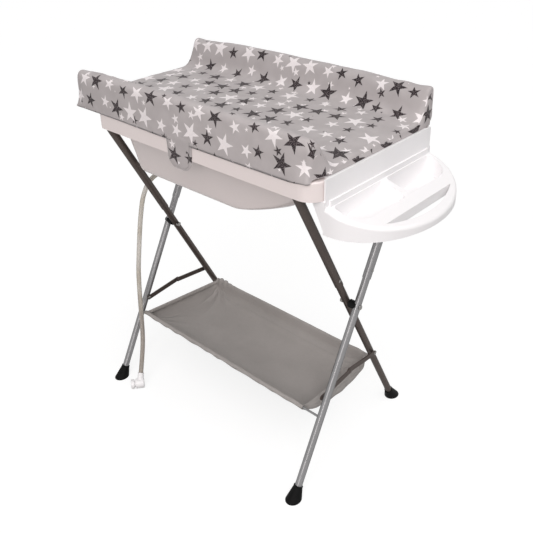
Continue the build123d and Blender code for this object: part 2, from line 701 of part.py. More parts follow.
def side_tray():
    """White moulded tray: two basins, a long slot, a deep skirt and a back that hooks on the rim."""
    tray = tray_block(0, 0) - tray_block(TRAY_WALL, TRAY_WALL)
    depths = {-1: BASIN_DEPTH, 1: CUP_DEPTH}
    for side, depth in depths.items():
        bowl = Pos(0, 0, TRAY_TOP) * basin_outline(side, -TRAY_WALL)
        tray += under_top(extrude(bowl, -(depth + TRAY_WALL), taper=6), 1)
    collar = Pos(0, 0, TRAY_TOP) * slot_outline(TRAY_WALL)
    tray += under_top(extrude(collar, -SLOT_COLLAR_H), 1)
    for side, depth in depths.items():
        tray -= extrude(Pos(0, 0, TRAY_TOP) * basin_outline(side, 0), -depth, taper=6)
    tray -= extrude(Pos(0, 0, TRAY_LOW) * slot_outline(0), 2 * TRAY_H)
    hook_z = RIM_TOP + SEAT_GAP
    wall_h = hook_z + TRAY_BACK_T - TRAY_LOW
    wall_w = 2 * (RIM_HALF_W - RIM_RIGHT_R + 14)
    wall_x = TRAY_BACK + TRAY_BACK_T / 2
    tray += Pos(wall_x, 0, TRAY_LOW + wall_h / 2) * Box(TRAY_BACK_T, wall_w, wall_h)
    step_z = TRAY_TOP - TRAY_WALL
    step = Box(TRAY_BACK_T, wall_w - 24, STEP_H + TRAY_WALL)
    tray += Pos(wall_x + TRAY_BACK_T, 0, step_z + (STEP_H + TRAY_WALL) / 2) * step
    hook_l = HOOK_W + TRAY_BACK_T
    hook_x = TRAY_BACK + TRAY_BACK_T - hook_l / 2
    hook_w = 2 * (RIM_HALF_W - RIM_RIGHT_R)
    tray += Pos(hook_x, 0, hook_z + TRAY_BACK_T / 2) * Box(hook_l, hook_w, TRAY_BACK_T)
    return tray + cheek(-1) + cheek(1)


def cheek(side):
    """Tapered cheek that runs back from the tray under the bath's rim."""
    top = RIM_TOP - RIM_LIP_H - SEAT_GAP
    x = TRAY_BACK + TRAY_BACK_T
    points = [(x - TRAY_BACK_T - CHEEK_L, top), (x, top), (x, top - CHEEK_H)]
    face = Plane.XZ * make_face(Polyline(*points, close=True))
    plate = extrude(face, TRAY_WALL)
    y = side * TRAY_HALF_W if side < 0 else side * TRAY_HALF_W - TRAY_WALL
    return Pos(0, y + TRAY_WALL, 0) * plate


# Padded mat


def end_shrink(x):
    """Share of the full section at a place along the mat: the ends draw in."""
    to_end = min(x - PAD_LEFT, PAD_RIGHT - x)
    return 0.86 + 0.14 * math.sin(math.pi / 2 * min(1.0, to_end / PAD_END))


def soft_stations():
    """Places along the mat where its soft sections are set."""
    inner = PAD_L - 2 * PAD_END
    middle = [PAD_LEFT + PAD_END + inner * i / SOFT_BAYS for i in range(SOFT_BAYS + 1)]
    left = [PAD_LEFT, PAD_LEFT + 0.25 * PAD_END]
    right = [PAD_RIGHT - 0.25 * PAD_END, PAD_RIGHT]
    return left + middle + right


def bolster_section(side, x):
    """Wedge section of a bolster with a rounded ridge."""
    k = end_shrink(x)
    height = (PAD_TOP - CUSHION_Z) * k
    outer = RIM_HALF_W - (1 - k) * 20
    ridge = outer - BOLSTER_LEAN
    inner = ridge - BOLSTER_TOP_W * k
    base = RIM_HALF_W - BOLSTER_W
    points = [
        (side * outer, CUSHION_Z),
        (side * ridge, CUSHION_Z + height),
        (side * inner, CUSHION_Z + height),
        (side * base, CUSHION_Z),
    ]
    face = make_face(Polyline(*points, close=True))
    tops = face.vertices().sort_by(Axis.Y)[2:]
    face = fillet(tops, 15 * k)
    lows = [v for v in face.vertices() if v.Y < CUSHION_Z + 0.5]
    return Plane(origin=(x, 0, 0), x_dir=(0, 1, 0), z_dir=(1, 0, 0)) * fillet(lows, 5)


def bolster(side):
    """Raised soft bolster along one long side of the mat."""
    return loft([bolster_section(side, x) for x in soft_stations()])


def centre_section(x):
    """Section of the middle cushion, crowned across its width."""
    k = end_shrink(x)
    half_w = RIM_HALF_W - BOLSTER_W - SEAT_GAP
    edge = CUSHION_Z + CENTRE_T * k
    crown = edge + CENTRE_CROWN * k
    outline = [
        Line((-half_w, CUSHION_Z), (half_w, CUSHION_Z)),
        Line((half_w, CUSHION_Z), (half_w, edge)),
        ThreePointArc((half_w, edge), (0, crown), (-half_w, edge)),
        Line((-half_w, edge), (-half_w, CUSHION_Z)),
    ]
    face = make_face(outline)
    tops = [v for v in face.vertices() if v.Y > CUSHION_Z + 1]
    return Plane(origin=(x, 0, 0), x_dir=(0, 1, 0), z_dir=(1, 0, 0)) * fillet(tops, 6)


def pad_centre():
    """Soft middle of the mat between the bolsters."""
    return loft([centre_section(x) for x in soft_stations()]) - bolster(1) - bolster(-1)


def pad_board():
    """Stiff board under the mat, pocketed for the hinge leaves."""
    length = PAD_L - 2 * BOARD_INSET
    board = Box(length, 2 * (RIM_HALF_W - BOARD_INSET / 2), BOARD_T)
    board = fillet(board.edges().filter_by(Axis.Z), 20)
    board = Pos((PAD_LEFT + PAD_RIGHT) / 2, 0, BOARD_Z + BOARD_T / 2) * board
    for side in (-1, 1):
        width = leaf_width() + 2 * SIDE_GAP
        depth = LEAF_T + FIT_GAP
        reach = LEAF_REACH + FIT_GAP
        place = Pos(STAND_X + side * HINGE_HALF_X, HINGE_Y - reach / 2, BOARD_Z + BOARD_T - depth / 2)
        board -= place * Box(width, reach, depth)
    return board


def pull_tab():
    """Cloth tab that hangs from the mat over the near rim, with a rounded end."""
    face_y = -RIM_HALF_W - SEAT_GAP
    top = CUSHION_Z + TAB_OVERLAP
    x = STAND_X + TAB_SHIFT
    half_w = TAB_W / 2
    low = top - TAB_L
    face = make_face(
        Polyline(
            (x - half_w, top),
            (x - half_w * 0.86, low),
            (x + half_w * 0.86, low),
            (x + half_w, top),
            close=True,
        )
    )
    lows = face.vertices().sort_by(Axis.Y)[:2]
    face = fillet(lows, half_w * 0.6)
    return Pos(0, face_y, 0) * extrude(Plane.XZ * face, TAB_T)


# Mat hinges


def leaf_width():
    """Width of a hinge leaf, between its two bracket knuckles."""
    return HINGE_L / 2


def hinge_bracket(side):
    """Bracket on the far lip of the bath, with two knuckles."""
    x = STAND_X + side * HINGE_HALF_X
    plate_y = RIM_HALF_W + FIT_GAP
    top = HINGE_Z - KNUCKLE_R + 1
    bracket = Pos(x, plate_y + BRACKET_T / 2, top - BRACKET_H / 2) * Box(HINGE_L, BRACKET_T, BRACKET_H)
    ear_w = (HINGE_L - leaf_width()) / 2 - SIDE_GAP
    for end in (-1, 1):
        x0 = x + end * (HINGE_L / 2 - ear_w)
        x1 = x + end * HINGE_L / 2
        bracket += cross_rod(x0, x1, HINGE_Y, HINGE_Z, KNUCKLE_R)
        web_w = HINGE_Y - plate_y
        web = Pos((x0 + x1) / 2, plate_y + web_w / 2, top - KNUCKLE_R / 2) * Box(
            ear_w, web_w, KNUCKLE_R
        )
        bracket += web
    return bracket - cross_rod(x - HINGE_L, x + HINGE_L, HINGE_Y, HINGE_Z, PIN_R + FIT_GAP)


def hinge_leaf(side):
    """Leaf let into the mat's board, with one knuckle."""
    x = STAND_X + side * HINGE_HALF_X
    z = BOARD_Z + BOARD_T - LEAF_T / 2
    leaf = Pos(x, HINGE_Y - LEAF_REACH / 2, z) * Box(leaf_width(), LEAF_REACH, LEAF_T)
    half = leaf_width() / 2
    leaf += cross_rod(x - half, x + half, HINGE_Y, HINGE_Z, KNUCKLE_R)
    return leaf - cross_rod(x - HINGE_L, x + HINGE_L, HINGE_Y, HINGE_Z, PIN_R + RUN_GAP)


def hinge_pin(side):
    """Plain pin through one hinge."""
    x = STAND_X + side * HINGE_HALF_X
    return cross_rod(x - HINGE_L / 2, x + HINGE_L / 2, HINGE_Y, HINGE_Z, PIN_R)


def main():
    """Build and write every piece."""
    for frame, word, foot_word in ((OUTER, "outer", "front"), (INNER, "inner", "rear")):
        save(f"{word}_top_bow", top_bow(frame))
        save(f"bow_rivets_{word}", sleeve_rivets(frame))
        save(f"brace_pins_{word}", brace_pins(frame))
        save(f"shelf_wire_{foot_word}", shelf_wire(frame))
        for name, side in SIDES.items():
            save(f"{word}_leg_{name}", lower_leg(frame, side))
            save(f"foot_{foot_word}_{name}", foot(frame, side))
            save(f"brace_link_{word}_{name}", brace_link(frame, side))
    both = list(SIDES.values())
    save("pivot_bolts", group(pivot_bolt(s) for s in both))
    save("pivot_nuts", group(pivot_nut(s) for s in both))
    save("pivot_spacers", group(pivot_spacer(s) for s in both))
    save("shelf_cloth", shelf_cloth())
    save("tub_shell", tub_shell())
    save("drain_spout", drain_spout())
    save("drain_strainer", drain_strainer())
    save("drain_hose", drain_hose())
    save("hose_clamp", hose_clamp())
    save("hose_elbow", hose_elbow())
    save("hose_cap", hose_cap())
    save("side_tray", side_tray())
    save("pad_board", pad_board())
    save("pad_centre", pad_centre())
    save("bolster_near", bolster(-1))
    save("bolster_far", bolster(1))
    save("pull_tab", pull_tab())
    save("hinge_brackets", group(hinge_bracket(s) for s in both))
    save("hinge_leaves", group(hinge_leaf(s) for s in both))
    save("hinge_pins", group(hinge_pin(s) for s in both))


main()
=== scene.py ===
"""Dressed model of a folding changing table: padded mat, bath, tray, stand, cloth shelf and drain hose."""

import logging
import math
from dataclasses import dataclass
from enum import Enum

import bpy
from mathutils import Matrix, Vector, noise


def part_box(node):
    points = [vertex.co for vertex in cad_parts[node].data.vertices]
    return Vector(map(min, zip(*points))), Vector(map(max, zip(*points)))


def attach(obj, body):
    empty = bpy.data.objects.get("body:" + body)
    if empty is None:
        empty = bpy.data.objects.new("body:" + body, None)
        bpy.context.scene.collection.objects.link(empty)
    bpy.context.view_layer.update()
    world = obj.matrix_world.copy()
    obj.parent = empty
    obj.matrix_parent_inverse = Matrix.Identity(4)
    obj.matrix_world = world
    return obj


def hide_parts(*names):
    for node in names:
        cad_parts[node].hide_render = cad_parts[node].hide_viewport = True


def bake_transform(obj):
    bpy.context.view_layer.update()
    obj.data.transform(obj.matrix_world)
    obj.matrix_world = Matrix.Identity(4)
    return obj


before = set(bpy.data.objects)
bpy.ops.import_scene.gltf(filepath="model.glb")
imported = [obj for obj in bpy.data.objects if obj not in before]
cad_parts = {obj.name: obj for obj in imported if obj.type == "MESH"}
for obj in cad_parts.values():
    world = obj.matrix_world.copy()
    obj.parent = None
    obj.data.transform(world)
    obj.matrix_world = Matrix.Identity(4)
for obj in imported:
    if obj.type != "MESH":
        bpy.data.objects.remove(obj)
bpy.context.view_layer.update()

LOG = logging.getLogger("changing_table")
Colour = tuple[float, float, float]
Pair = tuple[float, float]
Socket = bpy.types.NodeSocket
Material = bpy.types.Material
Piece = bpy.types.Object
Feed = float | Colour | Socket

# Even whole number added to a cell count, so that it stays above zero
COUNT_FROM = 400.0


class Slot(Enum):
    """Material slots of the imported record."""

    HOSE = "clear_hose"
    SHELF = "shelf_cloth"
    COVER = "mat_cover"


class Body(Enum):
    """Moving bodies of the table."""

    OUTER = "outer_frame"
    INNER = "inner_frame"
    BATH = "bath"
    MAT = "padded_mat"


# Node graphs


class Graph:
    """Node graph of one surface material, with short calls for what the finishes share."""

    def __init__(self, name: str) -> None:
        """Start an empty material with its shader and output.

        Args:
            name: Name of the material.
        """
        self.material = bpy.data.materials.new(name)
        self.material.use_nodes = True
        self.tree = self.material.node_tree
        self.tree.nodes.clear()
        output = self.node("ShaderNodeOutputMaterial")
        self.shader = self.node("ShaderNodeBsdfPrincipled")
        self.tree.links.new(self.shader.outputs["BSDF"], output.inputs["Surface"])

    def node(self, kind: str, **settings: object) -> bpy.types.Node:
        """Add a node.

        Args:
            kind: Node type.
            settings: Properties to set on it.

        Returns:
            The new node.
        """
        made = self.tree.nodes.new(kind)
        for key, value in settings.items():
            setattr(made, key, value)
        return made

    def feed(self, socket: Socket, value: Feed) -> None:
        """Link or set one input.

        Args:
            socket: Input to feed.
            value: A socket to link, or a plain value.
        """
        if isinstance(value, Socket):
            self.tree.links.new(value, socket)
        elif isinstance(value, tuple) and len(socket.default_value) == 4:
            socket.default_value = (*value, 1.0)
        else:
            socket.default_value = value

    def set(self, **inputs: Feed) -> None:
        """Feed the shader's inputs, named with underscores for spaces."""
        for key, value in inputs.items():
            self.feed(self.shader.inputs[key.replace("_", " ")], value)

    def math(self, operation: str, *values: Feed) -> Socket:
        """Scalar arithmetic.

        Args:
            operation: Name of the operation.
            values: Its operands.

        Returns:
            The result.
        """
        made = self.node("ShaderNodeMath", operation=operation)
        for socket, value in zip(made.inputs, values):
            self.feed(socket, value)
        return made.outputs[0]

    def vector(self, operation: str, *values: Feed) -> Socket:
        """Vector arithmetic.

        Args:
            operation: Name of the operation.
            values: Its operands.

        Returns:
            The result, a number for a length or a dot product.
        """
        made = self.node("ShaderNodeVectorMath", operation=operation)
        for socket, value in zip(made.inputs, values):
            self.feed(socket, value)
        return made.outputs["Value" if operation in ("LENGTH", "DOT_PRODUCT") else "Vector"]

    def split(self, vector: Feed) -> tuple[Socket, ...]:
        """Split a vector into its three numbers."""
        made = self.node("ShaderNodeSeparateXYZ")
        self.feed(made.inputs[0], vector)
        return tuple(made.outputs)

    def join(self, x: Feed, y: Feed, z: Feed = 0.0) -> Socket:
        """Join three numbers into a vector."""
        made = self.node("ShaderNodeCombineXYZ")
        for socket, value in zip(made.inputs, (x, y, z)):
            self.feed(socket, value)
        return made.outputs[0]

    def place(self) -> Socket:
        """Object coordinates in metres."""
        return self.node("ShaderNodeTexCoord").outputs["Object"]

    def cloth(self) -> Socket:
        """The piece's own cloth map, in metres along the cloth."""
        return self.node("ShaderNodeUVMap", uv_map="cloth").outputs["UV"]

    def noise(self, at: Feed, scale: float, detail: float = 2.0) -> Socket:
        """Cloudy noise.

        Args:
            at: Where it is read.
            scale: Repeats per metre.
            detail: Finer layers.

        Returns:
            A number about 0.5.
        """
        made = self.node("ShaderNodeTexNoise")
        self.feed(made.inputs["Vector"], at)
        self.feed(made.inputs["Scale"], scale)
        self.feed(made.inputs["Detail"], detail)
        return made.outputs["Fac"]

    def drift(self, at: Feed, scale: float) -> Socket:
        """Cloudy noise as a vector.

        Args:
            at: Where it is read.
            scale: Repeats per metre.

        Returns:
            Three numbers about 0.5.
        """
        made = self.node("ShaderNodeTexNoise")
        self.feed(made.inputs["Vector"], at)
        self.feed(made.inputs["Scale"], scale)
        return made.outputs["Color"]

    def chance(self, at: Feed, seed: float) -> tuple[Socket, Socket]:
        """Even random numbers for a cell.

        Args:
            at: Cell index.
            seed: Separates one draw from another.

        Returns:
            One number, and three more as a vector.
        """
        made = self.node("ShaderNodeTexWhiteNoise", noise_dimensions="4D")
        self.feed(made.inputs["Vector"], at)
        self.feed(made.inputs["W"], seed)
        return made.outputs["Value"], made.outputs["Color"]

    def remap(self, value: Feed, low: float, high: float, to: Pair = (0.0, 1.0)) -> Socket:
        """Smooth, clamped change of range.

        Args:
            value: Number to remap.
            low: Where the change starts.
            high: Where it ends.
            to: Results at the two.

        Returns:
            The remapped number.
        """
        made = self.node("ShaderNodeMapRange", interpolation_type="SMOOTHSTEP")
        keys = ("Value", "From Min", "From Max", "To Min", "To Max")
        for key, given in zip(keys, (value, low, high, *to)):
            self.feed(made.inputs[key], given)
        return made.outputs[0]

    def scale(self, vector: Feed, factor: float) -> Socket:
        """Scale a vector by a plain number."""
        made = self.vector("SCALE", vector)
        made.node.inputs["Scale"].default_value = factor
        return made

    def weave(self, at: Feed, turns: float) -> Socket:
        """Plain weave of two crossing waves.

        Args:
            at: Cloth coordinates.
            turns: Radians per metre of cloth.

        Returns:
            A number from -1 to 1.
        """
        waves = [self.math("SINE", self.math("MULTIPLY", part, turns)) for part in self.split(at)[:2]]
        return self.math("MULTIPLY", *waves)

    def mix(self, share: Feed, first: Feed, second: Feed, blend: str = "MIX") -> Socket:
        """Mix two colours.

        Args:
            share: How much of the second.
            first: First colour.
            second: Second colour.
            blend: How the second is laid on the first.

        Returns:
            The mixed colour.
        """
        made = self.node("ShaderNodeMix", data_type="RGBA", blend_type=blend)
        self.feed(made.inputs["Factor"], share)
        self.feed(made.inputs[6], first)
        self.feed(made.inputs[7], second)
        return made.outputs[2]

    def bump(self, height: Feed, depth: float, strength: float = 1.0) -> None:
        """Relief on the shader's normal.

        Args:
            height: Height from 0 to 1.
            depth: What a height of 1 stands for, in metres.
            strength: Share of the relief that shows.
        """
        made = self.node("ShaderNodeBump")
        self.feed(made.inputs["Height"], height)
        self.feed(made.inputs["Distance"], depth)
        self.feed(made.inputs["Strength"], strength)
        self.set(Normal=made.outputs[0])


# Finishes


@dataclass(frozen=True)
class TubePaint:
    """Metallic powder coat with a fine fleck and a slightly uneven gloss."""

    name: str
    dark: Colour
    light: Colour
    metal: float
    roughness: Pair = (0.27, 0.36)
    edge: float = 0.25

    def material(self) -> Material:
        """Build the material."""
        g = Graph(self.name)
        at = g.place()
        fleck = g.remap(g.noise(at, 1900.0, 1.0), 0.40, 0.70)
        cloud = g.noise(at, 14.0, 3.0)
        share = g.math("MULTIPLY", fleck, g.remap(cloud, 0.3, 0.7, (0.5, 1.0)))
        g.set(Base_Color=g.mix(share, self.dark, self.light), Metallic=self.metal)
        g.set(Roughness=g.remap(cloud, 0.3, 0.7, self.roughness), Specular_IOR_Level=0.3)
        g.set(Specular_Tint=(self.edge, self.edge, self.edge))
        g.bump(g.noise(at, 620.0, 2.0), 0.00005)
        return g.material


@dataclass(frozen=True)
class MouldedPlastic:
    """White moulded plastic with a faint tone, fine grain and slight handling marks."""

    name: str
    base: Colour
    shade: Colour
    roughness: Pair = (0.28, 0.40)

    def material(self) -> Material:
        """Build the material."""
        g = Graph(self.name)
        at = g.place()
        cloud = g.noise(at, 6.0, 4.0)
        scuff = g.noise(g.vector("MULTIPLY", at, (160.0, 900.0, 220.0)), 1.0, 3.0)
        g.set(Base_Color=g.mix(g.remap(cloud, 0.25, 0.8), self.base, self.shade))
        g.set(Roughness=g.remap(scuff, 0.35, 0.7, self.roughness), Specular_IOR_Level=0.5)
        g.bump(g.noise(at, 1300.0, 2.0), 0.00004)
        return g.material


@dataclass(frozen=True)
class StarCloth:
    """Grey coated cloth printed with scattered white and charcoal stars."""

    ground: Colour = (0.500, 0.462, 0.462)
    ground_dark: Colour = (0.460, 0.424, 0.424)
    white: Colour = (0.900, 0.845, 0.850)
    charcoal: Colour = (0.020, 0.013, 0.015)
    fleck: Colour = (0.190, 0.160, 0.163)
    pitch: float = 0.055
    notch: float = 0.365
    large: Pair = (0.0172, 0.0290)
    small: Pair = (0.0028, 0.0134)
    seeds: Pair = (3.0, 11.0)
    alternate: float = 0.34
    spill: float = 0.93
    sway: float = 0.45
    edge: Pair = (-0.0004, 0.0005)
    wobble: float = 0.0022
    large_dark: float = 0.54
    small_dark: float = 0.22
    small_shown: float = 0.80
    threads: float = 5200.0

    def star(self, g: Graph, at: Socket, radius: Feed, turn: Feed) -> Socket:
        """Five-pointed star as an inside measure.

        Args:
            g: Graph to add to.
            at: Place from the star's middle, in metres.
            radius: Middle to tips.
            turn: Turn of the star, radians.

        Returns:
            Signed distance in metres, positive inside.
        """
        x, y, _ = g.split(at)
        fifth = 2.0 * math.pi / 5.0
        upright = 4.0 * math.pi + fifth / 2.0 - math.pi / 2.0
        angle = g.math("ADD", g.math("ARCTAN2", y, x), g.math("ADD", turn, upright))
        folded = g.math("SUBTRACT", g.math("MODULO", angle, fifth), fifth / 2.0)
        reach = g.vector("LENGTH", at)
        along = g.math("MULTIPLY", reach, g.math("COSINE", folded))
        across = g.math("MULTIPLY", reach, g.math("ABSOLUTE", g.math("SINE", folded)))
        rise = self.notch * math.sin(fifth / 2.0)
        run = 1.0 - self.notch * math.cos(fifth / 2.0)
        side = math.hypot(rise, run)
        inner = g.math("MULTIPLY", g.math("SUBTRACT", radius, along), rise / side)
        return g.math("SUBTRACT", inner, g.math("MULTIPLY", across, run / side))

    def cells(self, g: Graph, at: Socket, shift: float) -> tuple[Socket, Socket]:
        """Staggered cells of a printed layer.

        Args:
            g: Graph to add to.
            at: Cloth coordinates.
            shift: Offset of the layer, in cells.

        Returns:
            The cell's index, and the place from its middle in metres.
        """
        u, v, _ = g.split(at)
        up = g.math("ADD", g.math("DIVIDE", v, self.pitch), shift)
        row = g.math("FLOOR", up)
        stagger = g.math("MULTIPLY", g.math("MODULO", g.math("ADD", row, COUNT_FROM), 2.0), 0.5)
        across = g.math("ADD", g.math("ADD", g.math("DIVIDE", u, self.pitch), stagger), shift)
        column = g.math("FLOOR", across)
        x = g.math("SUBTRACT", g.math("SUBTRACT", across, column), 0.5)
        y = g.math("SUBTRACT", g.math("SUBTRACT", up, row), 0.5)
        return g.join(column, row), g.scale(g.join(x, y), self.pitch)

    def layer(self, g: Graph, at: Socket, shift: float, sizes: Pair, seed: float) -> tuple[Socket, Socket]:
        """One printed layer of stars.

        Args:
            g: Graph to add to.
            at: Cloth coordinates.
            shift: Offset of the layer, in cells.
            sizes: Least and largest radius.
            seed: Draw of the layer.

        Returns:
            Mask of the stars, and each cell's own random number, which mostly alternates high and low.
        """
        cell, spot = self.cells(g, at, shift)
        column, line, _ = g.split(cell)
        draw, more = g.chance(cell, seed)
        turnabout = g.math("MODULO", g.math("ADD", g.math("ADD", column, line), COUNT_FROM), 2.0)
        draw = g.math("ADD", g.math("MULTIPLY", turnabout, self.alternate),
                      g.math("MULTIPLY", draw, 1.0 - self.alternate))
        jx, jy, size = g.split(more)
        radius = g.remap(size, 0.0, 1.0, sizes)
        room = g.math("SUBTRACT", self.pitch * 0.5, g.math("MULTIPLY", radius, self.spill))
        off = g.join(g.math("MULTIPLY", g.math("MULTIPLY_ADD", jx, 2.0, -1.0), room),
                     g.math("MULTIPLY", g.math("MULTIPLY_ADD", jy, 2.0, -1.0), room))
        turn = g.math("MULTIPLY_ADD", g.chance(cell, seed + 5.0)[0], 2.0 * self.sway, -self.sway)
        inside = self.star(g, g.vector("SUBTRACT", spot, off), radius, turn)
        return g.remap(inside, *self.edge), draw

    def material(self) -> Material:
        """Build the material."""
        g = Graph("star_cloth")
        at = g.cloth()
        wobble = g.vector("SUBTRACT", g.drift(at, 90.0), (0.5, 0.5, 0.5))
        drawn = g.vector("ADD", at, g.scale(wobble, self.wobble))
        large, pick = self.layer(g, drawn, 0.0, self.large, self.seeds[0])
        small, spare = self.layer(g, drawn, 0.5, self.small, self.seeds[1])
        marks = g.remap(g.noise(g.vector("MULTIPLY", at, (330.0, 430.0, 1.0)), 1.0, 2.0), 0.53, 0.62)
        ink = g.mix(marks, self.charcoal, self.fleck)
        pale = g.mix(g.remap(g.noise(at, 300.0, 2.0), 0.5, 0.8, (0.0, 0.35)), self.white, self.ground)
        cloud = g.noise(at, 22.0, 3.0)
        ground = g.mix(g.remap(cloud, 0.3, 0.7), self.ground, self.ground_dark)
        shown = g.math("MULTIPLY", small, g.math("LESS_THAN", spare, self.small_shown))
        colour = g.mix(shown, ground, g.mix(g.math("LESS_THAN", spare, self.small_dark), pale, ink))
        colour = g.mix(large, colour, g.mix(g.math("LESS_THAN", pick, self.large_dark), pale, ink))
        weave = g.weave(at, self.threads)
        tone = g.remap(weave, -1.0, 1.0, (0.94, 1.0))
        g.set(Base_Color=g.mix(1.0, colour, g.join(tone, tone, tone), "MULTIPLY"))
        g.set(Roughness=g.remap(cloud, 0.3, 0.7, (0.50, 0.62)), Specular_IOR_Level=0.22, Sheen_Weight=0.05)
        relief = g.math("ADD", g.math("MULTIPLY", weave, 0.25), g.noise(at, 120.0, 3.0))
        g.bump(relief, 0.00035, 0.6)
        return g.material


@dataclass(frozen=True)
class ShelfWeave:
    """Warm grey woven polyester with plain threads and slubs."""

    warp: Colour = (0.450, 0.420, 0.402)
    weft: Colour = (0.345, 0.321, 0.306)
    thread: float = 0.0011

    def material(self) -> Material:
        """Build the material."""
        g = Graph("shelf_weave")
        at = g.cloth()
        weave = g.weave(at, 2.0 * math.pi / self.thread)
        slub = g.noise(g.vector("MULTIPLY", at, (60.0, 900.0, 1.0)), 1.0, 3.0)
        cloud = g.math("ADD", g.math("MULTIPLY", g.noise(at, 16.0, 4.0), 0.4),
                       g.math("MULTIPLY", g.noise(g.vector("MULTIPLY", at, (1.0, 2.0, 1.0)), 5.0, 3.0), 0.6))
        drawn = g.math("ADD", g.math("MULTIPLY", slub, 0.4), g.math("MULTIPLY", cloud, 0.6))
        share = g.math("ADD", g.math("MULTIPLY", weave, 0.20), drawn)
        g.set(Base_Color=g.mix(g.remap(share, 0.25, 0.75), self.warp, self.weft))
        g.set(Roughness=g.remap(slub, 0.3, 0.7, (0.72, 0.88)), Specular_IOR_Level=0.25, Sheen_Weight=0.15)
        g.bump(g.math("ADD", g.math("MULTIPLY", weave, 0.4), g.noise(at, 70.0, 4.0)), 0.0006, 0.7)
        return g.material


@dataclass(frozen=True)
class Rubber:
    """Black rubber or plastic with a dusty, moulded surface."""

    name: str
    base: Colour
    dust: Colour
    roughness: Pair

    def material(self) -> Material:
        """Build the material."""
        g = Graph(self.name)
        at = g.place()
        cloud = g.noise(at, 55.0, 4.0)
        g.set(Base_Color=g.mix(g.remap(cloud, 0.45, 0.85), self.base, self.dust))
        g.set(Roughness=g.remap(cloud, 0.3, 0.7, self.roughness), Specular_IOR_Level=0.08)
        g.bump(g.noise(at, 900.0, 2.0), 0.0001)
        return g.material


@dataclass(frozen=True)
class ZincSteel:
    """Zinc-plated steel of bolts, pins, leaves and clamp."""

    bright: Colour = (0.30, 0.29, 0.28)
    dull: Colour = (0.17, 0.16, 0.155)

    def material(self) -> Material:
        """Build the material."""
        g = Graph("zinc_steel")
        at = g.place()
        bloom = g.noise(at, 240.0, 3.0)
        g.set(Base_Color=g.mix(g.remap(bloom, 0.3, 0.7), self.bright, self.dull), Metallic=1.0)
        g.set(Roughness=g.remap(bloom, 0.3, 0.7, (0.28, 0.45)))
        g.bump(g.noise(at, 1500.0, 2.0), 0.00003)
        return g.material


@dataclass(frozen=True)
class ClearHose:
    """Soft clear tube, slightly yellowed, with a milky wall."""

    milk: Colour = (0.74, 0.71, 0.67)
    tint: Colour = (0.60, 0.55, 0.48)
    # Darker, browner colour laid on the lower part of the hose.
    bottom_tone: Colour = (0.33, 0.28, 0.245)

    def material(self) -> Material:
        """Build the material."""
        g = Graph("clear_hose")
        at = g.place()
        cloud = g.noise(at, 18.0, 3.0)
        wall = g.mix(g.remap(cloud, 0.3, 0.7), self.milk, self.tint)
        height = g.math("MULTIPLY_ADD", cloud, 0.08, g.split(at)[2])
        # The hose's colour darkens and browns towards its bottom.
        g.set(Base_Color=g.mix(g.remap(height, 0.20, 0.34, (0.75, 0.0)), wall, self.bottom_tone))
        g.set(Roughness=g.remap(g.noise(at, 320.0, 2.0), 0.3, 0.7, (0.10, 0.22)))
        g.set(Transmission_Weight=0.45, IOR=1.38, Specular_IOR_Level=0.6)
        g.bump(g.noise(at, 260.0, 2.0), 0.0002, 0.5)
        return g.material


@dataclass(frozen=True)
class Hardboard:
    """Pressed brown board with short fibres."""

    base: Colour = (0.30, 0.205, 0.125)
    fibre: Colour = (0.21, 0.135, 0.078)

    def material(self) -> Material:
        """Build the material."""
        g = Graph("hardboard")
        at = g.place()
        strands = g.noise(g.vector("MULTIPLY", at, (260.0, 900.0, 900.0)), 1.0, 4.0)
        g.set(Base_Color=g.mix(g.remap(strands, 0.3, 0.7), self.base, self.fibre))
        g.set(Roughness=g.remap(strands, 0.3, 0.7, (0.6, 0.75)))
        g.bump(strands, 0.0002, 0.6)
        return g.material


@dataclass(frozen=True)
class Thread:
    """Sewing thread with a fine twist."""

    pale: Colour = (0.42, 0.40, 0.39)
    deep: Colour = (0.26, 0.25, 0.24)

    def material(self) -> Material:
        """Build the material."""
        g = Graph("thread")
        twist = g.noise(g.place(), 3200.0, 1.0)
        g.set(Base_Color=g.mix(g.remap(twist, 0.35, 0.65), self.pale, self.deep))
        g.set(Roughness=g.remap(twist, 0.3, 0.7, (0.6, 0.8)))
        return g.material


# Mesh helpers


def add_object(name: str, data: bpy.types.ID) -> Piece:
    """Link a new object that sits at the origin."""
    made = bpy.data.objects.new(name, data)
    bpy.context.scene.collection.objects.link(made)
    return made


def new_piece(name: str, points: list[Vector], faces: list[tuple[int, ...]], cloth: list[Pair],
              material: Material) -> Piece:
    """Link a mesh piece that sits at the origin.

    Args:
        name: Piece name.
        points: Vertices in metres.
        faces: Faces, outwards.
        cloth: Cloth coordinates of each face corner in order.
        material: Its material.

    Returns:
        The new object.
    """
    mesh = bpy.data.meshes.new(name)
    mesh.from_pydata([tuple(p) for p in points], [], faces)
    layer = mesh.uv_layers.new(name="cloth")
    for loop, uv in zip(layer.data, cloth):
        loop.uv = uv
    mesh.shade_smooth()
    mesh.materials.append(material)
    return add_object(name, mesh)


def settle(piece: Piece) -> None:
    """Turn a piece's modifiers into its plain mesh."""
    graph = bpy.context.evaluated_depsgraph_get()
    shaped = piece.evaluated_get(graph)
    made = bpy.data.meshes.new_from_object(shaped, preserve_all_data_layers=True, depsgraph=graph)
    old = piece.data
    piece.modifiers.clear()
    piece.data = made
    bpy.data.meshes.remove(old)


def round_off(piece: Piece) -> None:
    """Subdivide a piece once and keep the result as its plain mesh."""
    smooth = piece.modifiers.new("smooth", "SUBSURF")
    smooth.levels = smooth.render_levels = 1
    settle(piece)


def thicken(piece: Piece, thickness: float) -> None:
    """Give a sheet its thickness, half to each side, and round it off."""
    thick = piece.modifiers.new("thick", "SOLIDIFY")
    thick.thickness, thick.offset = thickness, 0.0
    round_off(piece)


def run_lengths(points: list[Vector]) -> list[float]:
    """Length of a path up to each of its points."""
    lengths = [0.0]
    for a, b in zip(points, points[1:]):
        lengths.append(lengths[-1] + (b - a).length)
    return lengths


